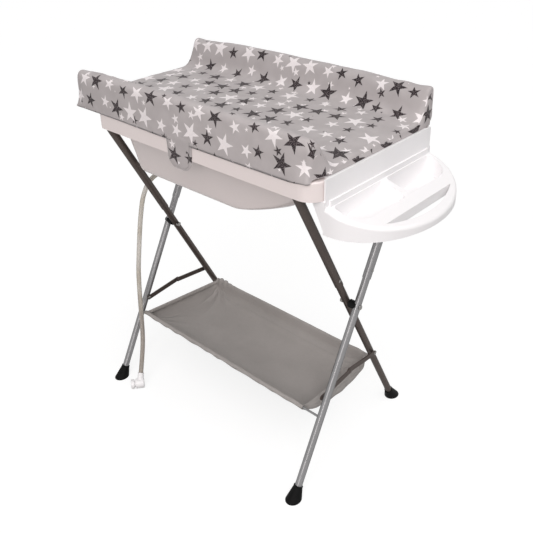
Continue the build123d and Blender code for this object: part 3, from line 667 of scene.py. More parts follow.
def bell(away: float, width: float) -> float:
    """Bell curve: 1 in the middle, small past its width."""
    return math.exp(-((away / width) ** 2))


def crumple(x: float, y: float, z: float) -> float:
    """Smooth noise about 0 at a place."""
    return noise.noise(Vector((x, y, z)))


def smooth_step(value: float) -> float:
    """Ease a share from 0 to 1."""
    value = min(1.0, max(0.0, value))
    return value * value * (3.0 - 2.0 * value)


def rounded_path(corners: list[tuple[float, float, float]], count: int, bend: int = 12) -> list[Vector]:
    """Even points along a flat path with eased corners.

    Args:
        corners: Place and tangent length of each corner.
        count: Number of steps.
        bend: Steps round each corner.

    Returns:
        count + 1 points.
    """
    dense = [Vector(corners[0][:2])]
    for before, here, after in zip(corners, corners[1:], corners[2:]):
        corner = Vector(here[:2])
        start = corner + (Vector(before[:2]) - corner).normalized() * here[2]
        end = corner + (Vector(after[:2]) - corner).normalized() * here[2]
        for step in range(bend + 1):
            t = step / bend
            dense.append(start * (1 - t) ** 2 + corner * 2 * t * (1 - t) + end * t * t)
    dense.append(Vector(corners[-1][:2]))
    lengths = run_lengths(dense)
    points, at = [], 0
    for step in range(count + 1):
        want = lengths[-1] * step / count
        while at < len(dense) - 2 and lengths[at + 1] < want:
            at += 1
        span = max(lengths[at + 1] - lengths[at], 1e-9)
        points.append(dense[at].lerp(dense[at + 1], min(1.0, (want - lengths[at]) / span)))
    return points


# Sub-assemblies


@dataclass(frozen=True)
class Filling:
    """Settings of the short cloth run that fills the mat."""

    frames: int = 20
    quality: int = 6
    mass: float = 0.25
    stretch: float = 18.0
    shear: float = 8.0
    bend: float = 0.6
    pressure: float = 4.0
    most: float = 0.0060
    end_share: float = 0.40
    end_run: float = 0.040


@dataclass
class PaddedMat:
    """Soft mat with two raised bolsters under one printed cover, sewn round a stiff board."""

    left: float
    right: float
    half_width: float
    underside: float
    ridge_z: float
    rim_right: float
    rim_half: float
    hook_left: float
    hook_top: float
    rim_corner: float = 0.0450
    lap: tuple[float, float, float] = (0.009, 0.0155, 0.0075)
    lap_runs: tuple[float, float, float] = (0.08, 0.42, 0.066)
    lap_out: float = 0.0035
    rounds: tuple[float, ...] = (0.0145, 0.0140, 0.0240, 0.0600, 0.0095)
    ridge_in: float = 0.0060
    ridge_width: float = 0.0310
    valley: float = 0.1660
    centre_z: float = 0.9075
    crown: float = 0.0040
    end_round: float = 0.0070
    dome: Pair = (0.0085, 0.0270)
    droop: float = 0.0150
    end_more: float = 0.0120
    far_rise: float = 0.0045
    far_ends: float = 0.0035
    far_lean: float = 0.0075
    lean_run: float = 0.0500
    corner_run: float = 0.0600
    droop_share: float = 0.80
    droop_stop: Pair = (0.226, 0.030)
    bolster_from: float = 0.1200
    bolster_run: float = 0.0400
    gather_run: float = 0.0300
    sunk: float = 0.0033
    edge_share: float = 0.3
    foot_reach: float = 0.0080
    rim_clear: float = 0.0016
    rim_under: float = 0.0008
    hook_clear: float = 0.0011
    climb: Pair = (0.007, 0.006)
    around: int = 78
    spacing: float = 0.0100
    end_steps: tuple[float, ...] = (
        0.0, 0.0008, 0.0022, 0.0044, 0.0072, 0.0104, 0.0136, 0.0168, 0.0200, 0.0235, 0.0275, 0.0325,
    )
    end_clear: float = 0.0360
    cap_rows: int = 4
    cap_print: Pair = (0.347, 0.771)
    ease_left: Pair = (0.035, 0.030)
    ease_right: Pair = (0.065, 0.045)

    @classmethod
    def fitted(cls) -> "PaddedMat":
        """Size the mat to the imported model's bolsters and board, a hair inside them."""
        low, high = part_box("bolster_near")
        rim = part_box("tub_shell")[1]
        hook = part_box("side_tray")
        return cls(left=low[0] + 0.0005, right=high[0] - 0.001, half_width=-low[1] - 0.0005,
                   underside=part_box("pad_board")[0][2] + 0.0004, ridge_z=high[2] - 0.0015,
                   rim_right=rim[0], rim_half=rim[1], hook_left=rim[0] - 0.0120, hook_top=hook[1][2])

    def section(self) -> list[Vector]:
        """Upper outline of the mat's section, near side to far side, as across and up."""
        w, ridge, top = self.half_width, self.half_width - self.ridge_in, self.ridge_z
        shoulder, slope, foot, middle, far_shoulder = self.rounds
        high = top + self.far_rise
        corners = [
            (-w, self.underside, 0.0),
            (-ridge, top, shoulder),
            (-ridge + self.ridge_width, top, slope),
            (-self.valley, self.centre_z, foot),
            (0.0, self.centre_z + self.crown, middle),
            (self.valley, self.centre_z, foot),
            (ridge - self.ridge_width, high, slope),
            (ridge, high, far_shoulder),
            (w, self.underside, 0.0),
        ]
        return rounded_path(corners, self.around)

    def lap_at(self, x: float) -> float:
        """How far the cover laps down over the near rim: most past the middle, less at the corners."""
        start, most, end = self.lap
        after, growth, close = self.lap_runs
        grown = smooth_step((x - self.left - after) / growth)
        shrunk = smooth_step((x - self.right + close) / close)
        return start + (most - start) * grown - (most - end) * shrunk

    def reach(self, x: float, y: float, raised: float) -> float:
        """How far the right end leans out over the tray's hook, and the far bolster's left end leans in.

        Args:
            x: Place along the mat.
            y: Place across the mat.
            raised: Share of the bolster's height, or -1 for the underside.

        Returns:
            Shift along the mat in metres.
        """
        late = max(0.0, 1.0 - (self.right - x) / self.lean_run)
        across = smooth_step((y + self.half_width) / self.corner_run)
        if raised < 0.0:
            stop, over = self.droop_stop
            return self.droop * late * across * smooth_step((stop - y) / over)
        early = max(0.0, 1.0 - (x - self.left) / self.lean_run)
        lean = self.far_lean * early * raised * smooth_step((y - self.bolster_from) / self.bolster_run)
        low = self.droop_share * self.droop
        return lean + late * across * (low + (self.end_more - low) * raised)

    def domed(self, x: float, y: float) -> float:
        """How far the near bolster's top falls at its rounded ends."""
        if y > -self.bolster_from:
            return 0.0
        left, right = self.dome
        low = 0.0
        for radius, to_end in ((left, x - self.left), (right, self.right - x)):
            close = max(0.0, radius - to_end)
            low += radius - math.sqrt(max(0.0, radius**2 - close**2))
        return low

    def rim_at(self, x: float) -> float:
        """Half the bath's width over its rim, which is round at the right end."""
        over = max(0.0, x - self.rim_right + self.rim_corner)
        return self.rim_half - self.rim_corner + math.sqrt(max(0.0, self.rim_corner**2 - over**2))

    def relief(self, x: float, s: float, total: float) -> float:
        """Slack and gathers of the cover.

        Args:
            x: Place along the mat.
            s: Place across the cover.
            total: Length across the cover.

        Returns:
            Lift off the foam in metres.
        """
        lift = 0.0016 * crumple(x * 11.0, s * 13.0, 1.7)
        lift += 0.0008 * crumple(x * 30.0, s * 26.0, 5.1)
        foot = 0.205
        for valley in (foot, total - foot):
            pull = crumple(x * 9.0, valley * 7.0, 9.3)
            lift += 0.0011 * bell(s - valley, 0.030) * math.sin(x * 150.0 + 7.0 * pull)
        gather = math.exp(-self.to_end(x) / self.gather_run)
        lift += 0.0009 * gather * math.sin(s * 120.0 + 2.0 * crumple(s * 12.0, x * 4.0, 3.0))
        for end, way in ((self.left, -1.0), (self.right, 1.0)):
            line = end - way * (0.019 + 0.06 * (s - 0.05))
            lift -= 0.0020 * bell(s - 0.040, 0.035) * bell(x - line, 0.0050)
        return lift

    def to_end(self, x: float) -> float:
        """How far a place is from the nearer end."""
        return min(x - self.left, self.right - x)

    def stations(self) -> list[float]:
        """Places along the mat, closer together at its ends."""
        length = self.right - self.left
        count = round(length / self.spacing)
        even = [self.left + length * j / count for j in range(count + 1)]
        inner = [x for x in even if self.left + self.end_clear < x < self.right - self.end_clear]
        first = [self.left + step for step in self.end_steps]
        return first + inner + [self.right - step for step in reversed(self.end_steps)]

    def under_places(self, base: list[Vector]) -> list[float]:
        """Places across the underside that face the points of the upper outline.

        Args:
            base: The upper outline.

        Returns:
            One place for each point.
        """
        last = len(base) - 1
        near = min(i for i, p in enumerate(base) if abs(p.x + self.valley) < self.foot_reach)
        far = max(i for i, p in enumerate(base) if abs(p.x - self.valley) < self.foot_reach)
        side = self.half_width - self.valley
        places = []
        for i in range(last + 1):
            if i <= near:
                y = -self.half_width + side * i / near
            elif i >= far:
                y = self.valley + side * (i - far) / (last - far)
            else:
                y = -self.valley + 2 * self.valley * (i - near) / (far - near)
            places.append(y)
        return places

    def inset_at(self, x: float) -> float:
        """How far the rounded end draws the outline in."""
        close = max(0.0, self.end_round - self.to_end(x))
        return self.end_round - math.sqrt(max(0.0, self.end_round**2 - close**2))

    def upper(self, x: float, base: list[Vector], arc: list[float]) -> list[Vector]:
        """Upper row of the cover at one place along the mat.

        Args:
            x: The place.
            base: The upper outline.
            arc: Length of the outline up to each of its points.

        Returns:
            One point for each of the outline's.
        """
        inset, last, row = self.inset_at(x), len(base) - 1, []
        for i, spot in enumerate(base):
            edge = i in (0, last)
            run = base[min(last, i + 1)] - base[max(0, i - 1)]
            normal = Vector((-run.y, run.x)).normalized()
            lift = self.relief(x, arc[i], arc[-1]) * (self.edge_share if edge else 1.0)
            raised = smooth_step((spot.y - self.centre_z) / (self.ridge_z - self.centre_z))
            p = spot + normal * (lift - inset - self.sunk)
            p.y -= self.domed(x, p.x) * raised
            if p.x > self.bolster_from:
                p.y += self.far_ends * raised * math.exp(-self.to_end(x) / self.gather_run)
            if edge:
                p.y = self.underside + inset * self.edge_share
            p.y = max(p.y, self.underside)
            if i == 0:
                out = max(self.rim_at(x) + self.rim_clear, self.half_width + self.lap_out - inset)
                p = Vector((-out, self.underside - self.lap_at(x)))
            shift = 0.0 if edge else self.reach(x, p.x, raised)
            row.append(Vector((x + shift, p.x, p.y)))
        return row

    def lower(self, x: float, under: list[float]) -> list[Vector]:
        """Lower row of the cover at one place along the mat, without its two edges.

        Args:
            x: The place.
            under: Places across the underside.

        Returns:
            The row's points, near side to far side.
        """
        narrow = 1.0 - self.inset_at(x) / self.half_width
        before, over = self.climb
        row = []
        for i, place in enumerate(under[1:-1]):
            y = place * narrow if i else -self.rim_at(x) - self.rim_under
            out = x + self.reach(x, y, -1.0)
            climb = smooth_step((out - self.hook_left + before) / over)
            low = self.underside + (self.hook_top + self.hook_clear - self.underside) * climb
            row.append(Vector((out, y, low)))
        return row

    def build(self, material: Material) -> Piece:
        """Model the cover as one closed form.

        Args:
            material: Printed cloth.

        Returns:
            The mat's piece.
        """
        base = self.section()
        arc, under = run_lengths(base), self.under_places(base)
        points: list[Vector] = []
        uvs: list[Pair] = []
        tops, lows = [], []
        for x in self.stations():
            upper, first = self.upper(x, base, arc), len(points)
            points += upper + self.lower(x, under)
            last = first + self.around
            tops.append(list(range(first, last + 1)))
            lows.append([first, *range(last + 1, len(points)), last])
            uvs += [(x, arc[1] - (upper[1] - upper[0]).length)] + [(x, s) for s in arc[1:]]
            uvs += [(x, -(y + self.half_width)) for y in under[1:-1]]
        self.lay_print(points, uvs, tops)
        faces: list[tuple[int, ...]] = []
        for j in range(len(tops) - 1):
            for i in range(self.around):
                a, b = tops[j], tops[j + 1]
                faces.append((a[i], b[i], b[i + 1], a[i + 1]))
                a, b = lows[j], lows[j + 1]
                faces.append((a[i], a[i + 1], b[i + 1], b[i]))
        body = len(faces)
        self.cap(points, faces, tops[0], lows[0], -1.0)
        self.cap(points, faces, tops[-1], lows[-1], 1.0)
        faces = [tuple(dict.fromkeys(f)) for f in faces]
        cloth = [uvs[i] for f in faces[:body] for i in f]
        along, across = self.cap_print
        cloth += [(points[i].z + along, points[i].y + across) for f in faces[body:] for i in f]
        piece = new_piece("mat_cover", points, faces, cloth, material)
        self.mark(piece, {i for row in lows for i in row})
        return piece

    def mark(self, piece: Piece, sewn: set[int]) -> None:
        """Name the points that are sewn, and the ends that are smoothed.

        Args:
            piece: The mat's piece.
            sewn: Numbers of the underside's points.
        """
        piece.vertex_groups.new(name="sewn").add(sorted(sewn), 1.0, "REPLACE")
        ends = piece.vertex_groups.new(name="ends")
        for vertex in piece.data.vertices:
            right = smooth_step((vertex.co.x - self.right + self.ease_right[0]) / self.ease_right[1])
            left = smooth_step((self.left + self.ease_left[0] - vertex.co.x) / self.ease_left[1])
            if max(left, right) > 0.0 and vertex.index not in sewn:
                ends.add([vertex.index], max(left, right), "REPLACE")

    def lay_print(self, points: list[Vector], uvs: list[Pair], rows: list[list[int]]) -> None:
        """Measure the print along the cover from its middle, so that it keeps its size round the ends.

        Args:
            points: Points of the cover.
            uvs: Cloth coordinates to correct.
            rows: Upper rows of point numbers, left end to right.
        """
        middle = len(rows) // 2
        for way, last in ((1, len(rows) - 1), (-1, 0)):
            for j in range(middle, last, way):
                for here, there in zip(rows[j], rows[j + way]):
                    step = (points[there] - points[here]).length
                    uvs[there] = (uvs[here][0] + way * step, uvs[there][1])

    def cap(self, points: list[Vector], faces: list[tuple[int, ...]], top: list[int], low: list[int],
            way: float) -> None:
        """Close one end of the mat.

        Args:
            points: Vertices, added to.
            faces: Faces, added to.
            top: Upper row of the end.
            low: Lower row of the end.
            way: -1 for the left end, 1 for the right.
        """
        rows = [top]
        for k in range(1, self.cap_rows):
            t = k / self.cap_rows
            row = [top[0]]
            for a, b in zip(top[1:-1], low[1:-1]):
                row.append(len(points))
                points.append(points[a].lerp(points[b], t))
            rows.append(row + [top[-1]])
        rows.append(low)
        for upper, lower in zip(rows, rows[1:]):
            for i in range(len(top) - 1):
                quad = (upper[i], upper[i + 1], lower[i + 1], lower[i])
                faces.append(tuple(reversed(quad)) if way > 0 else quad)

    def inflate(self, piece: Piece, filling: Filling) -> None:
        """Fill the cover with a short cloth run, held at its sewn underside.

        Args:
            piece: The mat's piece.
            filling: Settings of the run.
        """
        rest = [v.co.copy() for v in piece.data.vertices]
        cloth = piece.modifiers.new("fill", "CLOTH")
        cloth.settings.quality = filling.quality
        cloth.settings.mass = filling.mass
        cloth.settings.tension_stiffness = filling.stretch
        cloth.settings.compression_stiffness = filling.stretch
        cloth.settings.shear_stiffness = filling.shear
        cloth.settings.bending_stiffness = filling.bend
        cloth.settings.use_pressure = True
        cloth.settings.uniform_pressure_force = filling.pressure
        cloth.settings.vertex_group_mass = "sewn"
        cloth.settings.effector_weights.gravity = 0.0
        cloth.collision_settings.use_collision = False
        cloth.point_cache.frame_start, cloth.point_cache.frame_end = 1, filling.frames
        scene = bpy.context.scene
        for step in range(1, filling.frames + 1):
            scene.frame_set(step)
        graph = bpy.context.evaluated_depsgraph_get()
        shaped = [v.co.copy() for v in piece.evaluated_get(graph).data.vertices]
        piece.modifiers.clear()
        scene.frame_set(1)
        for vertex, start, end in zip(piece.data.vertices, rest, shaped):
            move = end - start
            free = smooth_step(self.to_end(start.x) / filling.end_run)
            most = filling.most * (filling.end_share + (1.0 - filling.end_share) * free)
            if move.length > most:
                move = move.normalized() * most
            place = start + move
            place.z = max(place.z, min(start.z, self.underside))
            vertex.co = place
        piece.data.update()

    def dress(self, piece: Piece) -> None:
        """Smooth the cover and tie it to the mat's body."""
        ease = piece.modifiers.new("ease", "SMOOTH")
        ease.factor = 0.5
        ease.iterations = 12
        ease.vertex_group = "ends"
        round_off(piece)
        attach(piece, Body.MAT.value)
        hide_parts("pad_centre", "bolster_near", "bolster_far")


@dataclass
class PullTab:
    """Printed cloth tab that hangs from the mat over the near rim."""

    middle: float
    half_width: float = 0.0475
    taper: float = 0.80
    top: float = 0.8980
    low: float = 0.8090
    face: float = -0.2293
    thickness: float = 0.0018
    corner: float = 0.0270
    top_in: float = 0.0022
    curl: float = 0.0016
    hang_out: float = 0.0008
    rim_clear: float = 0.0024
    rows: int = 26
    columns: int = 16
    crowding: float = 1.6
    print_at: Pair = (0.25, 1.0)
    stitch_in: float = 0.0060
    stitch_top: float = 0.0120
    stitch_out: float = 0.0030

    @classmethod
    def fitted(cls) -> "PullTab":
        """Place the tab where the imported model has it."""
        low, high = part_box("pull_tab")
        return cls(middle=(low[0] + high[0]) / 2.0)

    def half_at(self, z: float) -> float:
        """Half width of the tab at a height, with its rounded lower corners."""
        share = (self.top - z) / (self.top - self.low)
        half = self.half_width * (1.0 - (1.0 - self.taper) * share)
        close = self.corner - (z - self.low)
        return half if close <= 0 else half - self.corner + math.sqrt(max(0.0, self.corner**2 - close**2))

    def build(self, material: Material) -> Piece:
        """Model the tab.

        Args:
            material: Printed cloth.

        Returns:
            The tab's piece.
        """
        rows, columns = self.rows, self.columns
        points, uvs, faces = [], [], []
        for j in range(rows + 1):
            t = 1.0 - (1.0 - j / rows) ** self.crowding
            z = self.top + (self.low - self.top) * t
            half = self.half_at(z)
            for i in range(columns + 1):
                s = 2.0 * i / columns - 1.0
                x = self.middle + s * half
                y = self.face + self.top_in * smooth_step(1.0 - t * 6.0)
                y -= self.curl * math.sin(2.2 * s + 5.0 * t) * t + self.hang_out * t
                points.append(Vector((x, min(y, self.face + self.rim_clear), z)))
                uvs.append((x + self.print_at[0], z + self.print_at[1]))
        for j in range(rows):
            for i in range(columns):
                a = j * (columns + 1) + i
                faces.append((a, a + columns + 1, a + columns + 2, a + 1))
        piece = new_piece("mat_pull_tab", points, faces, [uvs[i] for f in faces for i in f], material)
        thicken(piece, self.thickness)
        return piece

    def edge(self) -> list[Vector]:
        """Stitch line just inside the tab's edge, left side to right side."""
        start, end, steps = self.top - self.stitch_top, self.low + self.stitch_in, 40
        side = []
        for j in range(steps + 1):
            z = start + (end - start) * j / steps
            half = max(0.0, self.half_at(z - self.stitch_in / 2.0) - self.stitch_in)
            side.append((half, z))
        y = self.face - self.stitch_out
        left = [Vector((self.middle - h, y, z)) for h, z in side]
        right = [Vector((self.middle + h, y, z)) for h, z in reversed(side)]
        return left + right

    def dress(self, piece: Piece) -> None:
        """Tie the tab to the mat's body."""
        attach(piece, Body.MAT.value)
        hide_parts("pull_tab")


@dataclass
class Shelf:
    """Cloth shelf sewn round two wires: a shallow hammock with a bellied wall at each end."""

    front_y: float
    rear_y: float
    wire_z: float
    front_left: float
    front_right: float
    rear_left: float
    rear_right: float
    sag: float = 0.0440
    fullness: float = 0.50
    bulge: float = 0.0150
    hem: float = 0.0115
    gather: float = 0.0080
    belly: float = 0.05
    slack: Pair = (0.0018, 0.0009)
    rear_slack: float = 0.0038
    wall_slack: float = 0.0016
    fold_at: float = 0.87
    fold_rise: float = 0.0026
    ripple: float = 0.0046
    ripples: float = 17.0
    bunch: float = 0.62
    bunches: float = 46.0
    creases: tuple[tuple[float, float, float], ...] = (
        (0.0, 1.0, 0.0098), (0.0, 0.0, 0.0056), (1.0, 1.0, 0.0052), (1.0, 0.0, 0.0036),
    )
    crease_fan: float = 6.5
    crease_run: float = 0.0550
    crease_clear: float = 0.0300
    thickness: float = 0.0012
    stitch_out: float = 0.0003
    seams_at: Pair = (0.050, 0.950)
    wall_seam: float = 0.27
    bed_span: Pair = (0.035, 0.93)
    bed_rows: int = 88
    bed_columns: int = 42
    crowding: float = 1.25
    wall_out: tuple[float, ...] = (0.0, 0.34, 0.70, 0.94, 1.0, 0.80, 0.25, -0.70, -1.75)
    wall_down: tuple[float, ...] = (0.0, 0.10, 0.24, 0.42, 0.60, 0.78, 0.92, 0.985, 1.0)
    pocket: tuple[Pair, ...] = (
        (0.0088, -0.0160), (0.0046, -0.0108), (0.0004, -0.0068), (-0.0038, -0.0050), (-0.0060, -0.0018),
        (-0.0058, 0.0020), (-0.0030, 0.0050), (0.0014, 0.0056), (0.0052, 0.0030),
    )

    @classmethod
    def fitted(cls) -> "Shelf":
        """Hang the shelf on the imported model's two wires, between the cloth's ends."""
        front, rear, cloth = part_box("shelf_wire_front"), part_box("shelf_wire_rear"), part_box("shelf_cloth")
        left, right = cloth[0][0] + 0.0005, cloth[1][0] - 0.0005
        return cls(front_y=(front[0][1] + front[1][1]) / 2.0, rear_y=(rear[0][1] + rear[1][1]) / 2.0,
                   wire_z=(front[0][2] + front[1][2]) / 2.0, front_left=left, front_right=right - 0.004,
                   rear_left=left + 0.036, rear_right=right)

    def across(self) -> list[tuple[float, float, float]]:
        """Section across the shelf.

        Returns:
            Share across, offset along Y and offset up, from the wire's line, front to rear.
        """
        front = [(0.0, y, z) for y, z in self.pocket]
        start, span = self.bed_span
        middle = []
        for i in range(self.bed_columns + 1):
            share = 1.0 - (1.0 - i / self.bed_columns) ** self.crowding
            middle.append((start + span * share, 0.0, 0.0))
        return front + middle + [(1.0, -y, z) for _, y, z in reversed(front)]

    def depth(self, t: float) -> float:
        """Share of the full sag at a share across the shelf."""
        return max(0.0, 4.0 * t * (1.0 - t)) ** self.fullness

    def free(self, t: float) -> float:
        """Share of the end walls' own form, nothing beside the wires and all of it further in."""
        return smooth_step((self.depth(t) - 0.25) / 0.45)

    def hem_x(self, t: float, way: int) -> float:
        """Where the hem of one end crosses a share across the shelf."""
        front, rear = (self.front_left, self.rear_left) if way < 0 else (self.front_right, self.rear_right)
        return front + (rear - front) * t

    def wall(self, t: float, q: float, way: int) -> Vector:
        """Point of an end wall.

        Args:
            t: Share across the shelf.
            q: Share down the wall, from its hem to its foot.
            way: -1 for the left end, 1 for the right.

        Returns:
            The point on the chord's line, before the offsets of the pockets.
        """
        at = q * (len(self.wall_out) - 1)
        low = min(int(at), len(self.wall_out) - 2)
        part = at - low
        out = self.wall_out[low] + (self.wall_out[low + 1] - self.wall_out[low]) * part
        down = self.wall_down[low] + (self.wall_down[low + 1] - self.wall_down[low]) * part
        full = self.depth(t)
        ease = self.free(t)
        x = self.hem_x(t, way) + way * ((1.0 - ease) * -self.gather * q + ease * self.bulge * out * full)
        y = self.front_y + (self.rear_y - self.front_y) * t
        crease = crumple(t * 9.0, q * 2.0, 3.1 * way) + 0.6 * math.sin(t * 34.0 + 2.5 * way)
        x += way * self.wall_slack * ease * math.sin(math.pi * q) * crease
        return Vector((x, y, self.wire_z - self.sag * full * down))

    def bed(self, t: float, s: float) -> Vector:
        """Point of the hanging bed.

        Args:
            t: Share across the shelf.
            s: Share along it, between the feet of its end walls.

        Returns:
            The point, before the offsets of the pockets.
        """
        left, right = self.wall(t, 1.0, -1), self.wall(t, 1.0, 1)
        point = left.lerp(right, s)
        point.z -= self.belly * self.sag * self.depth(t) * math.sin(math.pi * s)
        loose = math.sin(math.pi * t) * smooth_step(min(s, 1.0 - s) / 0.05)
        point.z += self.slack[0] * loose * crumple(point.x * 7.0, point.y * 16.0, 2.4)
        point.z += self.slack[1] * loose * crumple(point.x * 18.0, point.y * 40.0, 7.7)
        length = right.x - left.x
        for along, across, size in self.creases:
            ax, ay = (s - along) * length, (t - across) * (self.rear_y - self.front_y)
            away = math.hypot(ax, ay)
            turn = self.crease_fan * math.atan2(ay, ax) + 1.3 * along + 9.0 * away
            fan = 1.0 - 2.0 * abs(math.sin(turn)) ** 0.7
            point.z += size * fan * math.exp(-away / self.crease_run) * smooth_step(away / self.crease_clear)
        fold = self.fold_at + 0.012 * crumple(point.x * 5.0, 0.7, 6.0)
        point.z += self.fold_rise * bell(t - fold, 0.018) * smooth_step(min(s, 1.0 - s) / 0.08)
        point.z += self.rear_slack * bell(t - 0.92, 0.05) * loose * crumple(point.x * 26.0, 0.3, 4.0)
        return point

    def offset(self, point: Vector, t: float, dy: float, dz: float, snug: float) -> Vector:
        """Point of a wire pocket, with the hem's ripples.

        Args:
            point: Point on the wire's line.
            t: 0 for the front wire, 1 for the rear.
            dy: Offset along Y.
            dz: Offset up.
            snug: Share of the offsets that is used.

        Returns:
            The point of the pocket.
        """
        if not (dy or dz):
            return point
        way = 1.0 if t > 0.5 else -1.0
        slip = crumple(point.x * 6.0, t * 3.0, 0.9)
        wave = math.sin(2.0 * math.pi * (point.x * self.ripples + 1.3 * slip)) * (0.75 + 0.9 * slip)
        low = smooth_step((0.004 - dz) / 0.010) * bell(dy * -way + 0.001, 0.0055)
        near = bell(point.x - self.rear_left - 0.020, 0.038) if t > 0.5 else 0.0
        tuck = math.sin(2.0 * math.pi * point.x * self.bunches + 2.0 * slip)
        snug *= 1.0 + self.bunch * near * (0.6 + tuck)
        shift = Vector((0.0, dy * snug + 0.0010 * wave * low * way, dz * snug + self.ripple * wave * low))
        return point + shift

    def rows(self) -> list[list[Vector]]:
        """Rows of points from the left hem over the bed to the right hem."""
        section = self.across()
        steps = len(self.wall_out) - 1
        folds = (
            (0.0026, -self.hem, 0.0120, 0.78),
            (0.0026, -0.0010, 0.0015, 0.78),
            (0.0013, 0.0010, 0.0004, 0.90),
        )

        def hem(way: int) -> list[list[Vector]]:
            """Fold of one end's hem, from its raw edge to its top."""
            made = []
            for inside, fall, run, snug in folds:
                row = []
                for t, dy, dz in section:
                    ease = self.free(t)
                    point = self.wall(t, 0.0, way)
                    point.x -= way * ((1.0 - ease) * run + ease * inside)
                    point.z += ease * fall
                    row.append(self.offset(point, t, dy, dz, snug))
                made.append(row)
            return made

        def end(way: int) -> list[list[Vector]]:
            """One end's wall, from its hem to its foot."""
            return [[self.offset(self.wall(t, i / steps, way), t, dy, dz, 1.0) for t, dy, dz in section]
                    for i in range(steps + 1)]

        rows = hem(-1) + end(-1)
        for i in range(1, self.bed_rows):
            along = (i / self.bed_rows) ** self.crowding
            rows.append([self.offset(self.bed(t, along), t, dy, dz, 1.0) for t, dy, dz in section])
        return rows + list(reversed(end(1))) + list(reversed(hem(1)))

    def build(self, material: Material) -> Piece:
        """Model the cloth with its wire pockets, end walls and folded hems.

        Args:
            material: Woven cloth.

        Returns:
            The shelf's piece.
        """
        rows = self.rows()
        wide, middle = len(rows[0]), len(rows[0]) // 2
        across, along = run_lengths(rows[len(rows) // 2]), run_lengths([row[middle] for row in rows])
        points = [point for row in rows for point in row]
        faces, cloth = [], []
        for k in range(len(rows) - 1):
            for i in range(wide - 1):
                a = k * wide + i
                faces.append((a, a + wide, a + wide + 1, a + 1))
                cloth += [(along[k], across[i]), (along[k + 1], across[i]), (along[k + 1], across[i + 1]),
                          (along[k], across[i + 1])]
        piece = new_piece("shelf_sheet", points, faces, cloth, material)
        thicken(piece, self.thickness)
        piece["flat_length"] = along[-1]
        return piece

    def seams(self) -> list[list[Vector]]:
        """Stitch lines beside the pockets and under the hems of the ends."""
        proud = self.thickness / 2.0 + self.stitch_out
        lift = Vector((0.0, 0.0, proud))
        long, short = 160, 60
        lines = []
        for t in self.seams_at:
            lines.append([self.bed(t, 0.012 + 0.976 * i / long) + lift for i in range(long + 1)])
        for way in (-1, 1):
            out = Vector((way * proud, 0.0, 0.0))
            places = [0.14 + 0.72 * i / short for i in range(short + 1)]
            lines.append([self.wall(t, self.wall_seam, way) + out for t in places])
        return lines

    def dress(self, piece: Piece, stitches: Piece) -> None:
        """Set the cloth and its stitches in place, and hide the imported cloth.

        Args:
            piece: The shelf's piece.
            stitches: Its seams.
        """
        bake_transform(piece)
        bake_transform(stitches)
        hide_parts("shelf_cloth")
        del piece["flat_length"]


@dataclass
class DrainHose:
    """Clear hose from the drain's outlet down to its end fitting on the floor."""

    radius: float = 0.0070
    length: float = 0.788
    route: tuple[tuple[float, float, float], ...] = (
        (-0.283, 0.000, 0.663), (-0.335, 0.000, 0.663), (-0.390, -0.020, 0.653), (-0.430, -0.056, 0.622),
        (-0.433, -0.086, 0.576), (-0.424, -0.108, 0.524), (-0.418, -0.124, 0.470), (-0.415, -0.136, 0.415),
        (-0.413, -0.147, 0.359), (-0.410, -0.154, 0.303), (-0.406, -0.160, 0.247), (-0.398, -0.168, 0.192),
        (-0.385, -0.181, 0.138), (-0.371, -0.200, 0.090), (-0.353, -0.228, 0.036),
    )

    def build(self, material: Material) -> Piece:
        """Lay the hose as one smooth curve.

        Args:
            material: Clear tube.

        Returns:
            The hose's piece.
        """
        curve = bpy.data.curves.new("hose_tube", "CURVE")
        curve.dimensions = "3D"
        spline = curve.splines.new("NURBS")
        spline.points.add(len(self.route) - 1)
        for point, place in zip(spline.points, self.route):
            point.co = (*place, 1.0)
        spline.order_u = 3
        spline.use_endpoint_u = True
        spline.resolution_u = 12
        curve.bevel_depth = self.radius
        curve.bevel_resolution = 6
        curve.use_fill_caps = True
        curve.materials.append(material)
        return add_object("hose_tube", curve)

    def dress(self, piece: Piece) -> None:
        """Tie the hose to the bath."""
        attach(piece, Body.BATH.value)
        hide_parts("drain_hose")


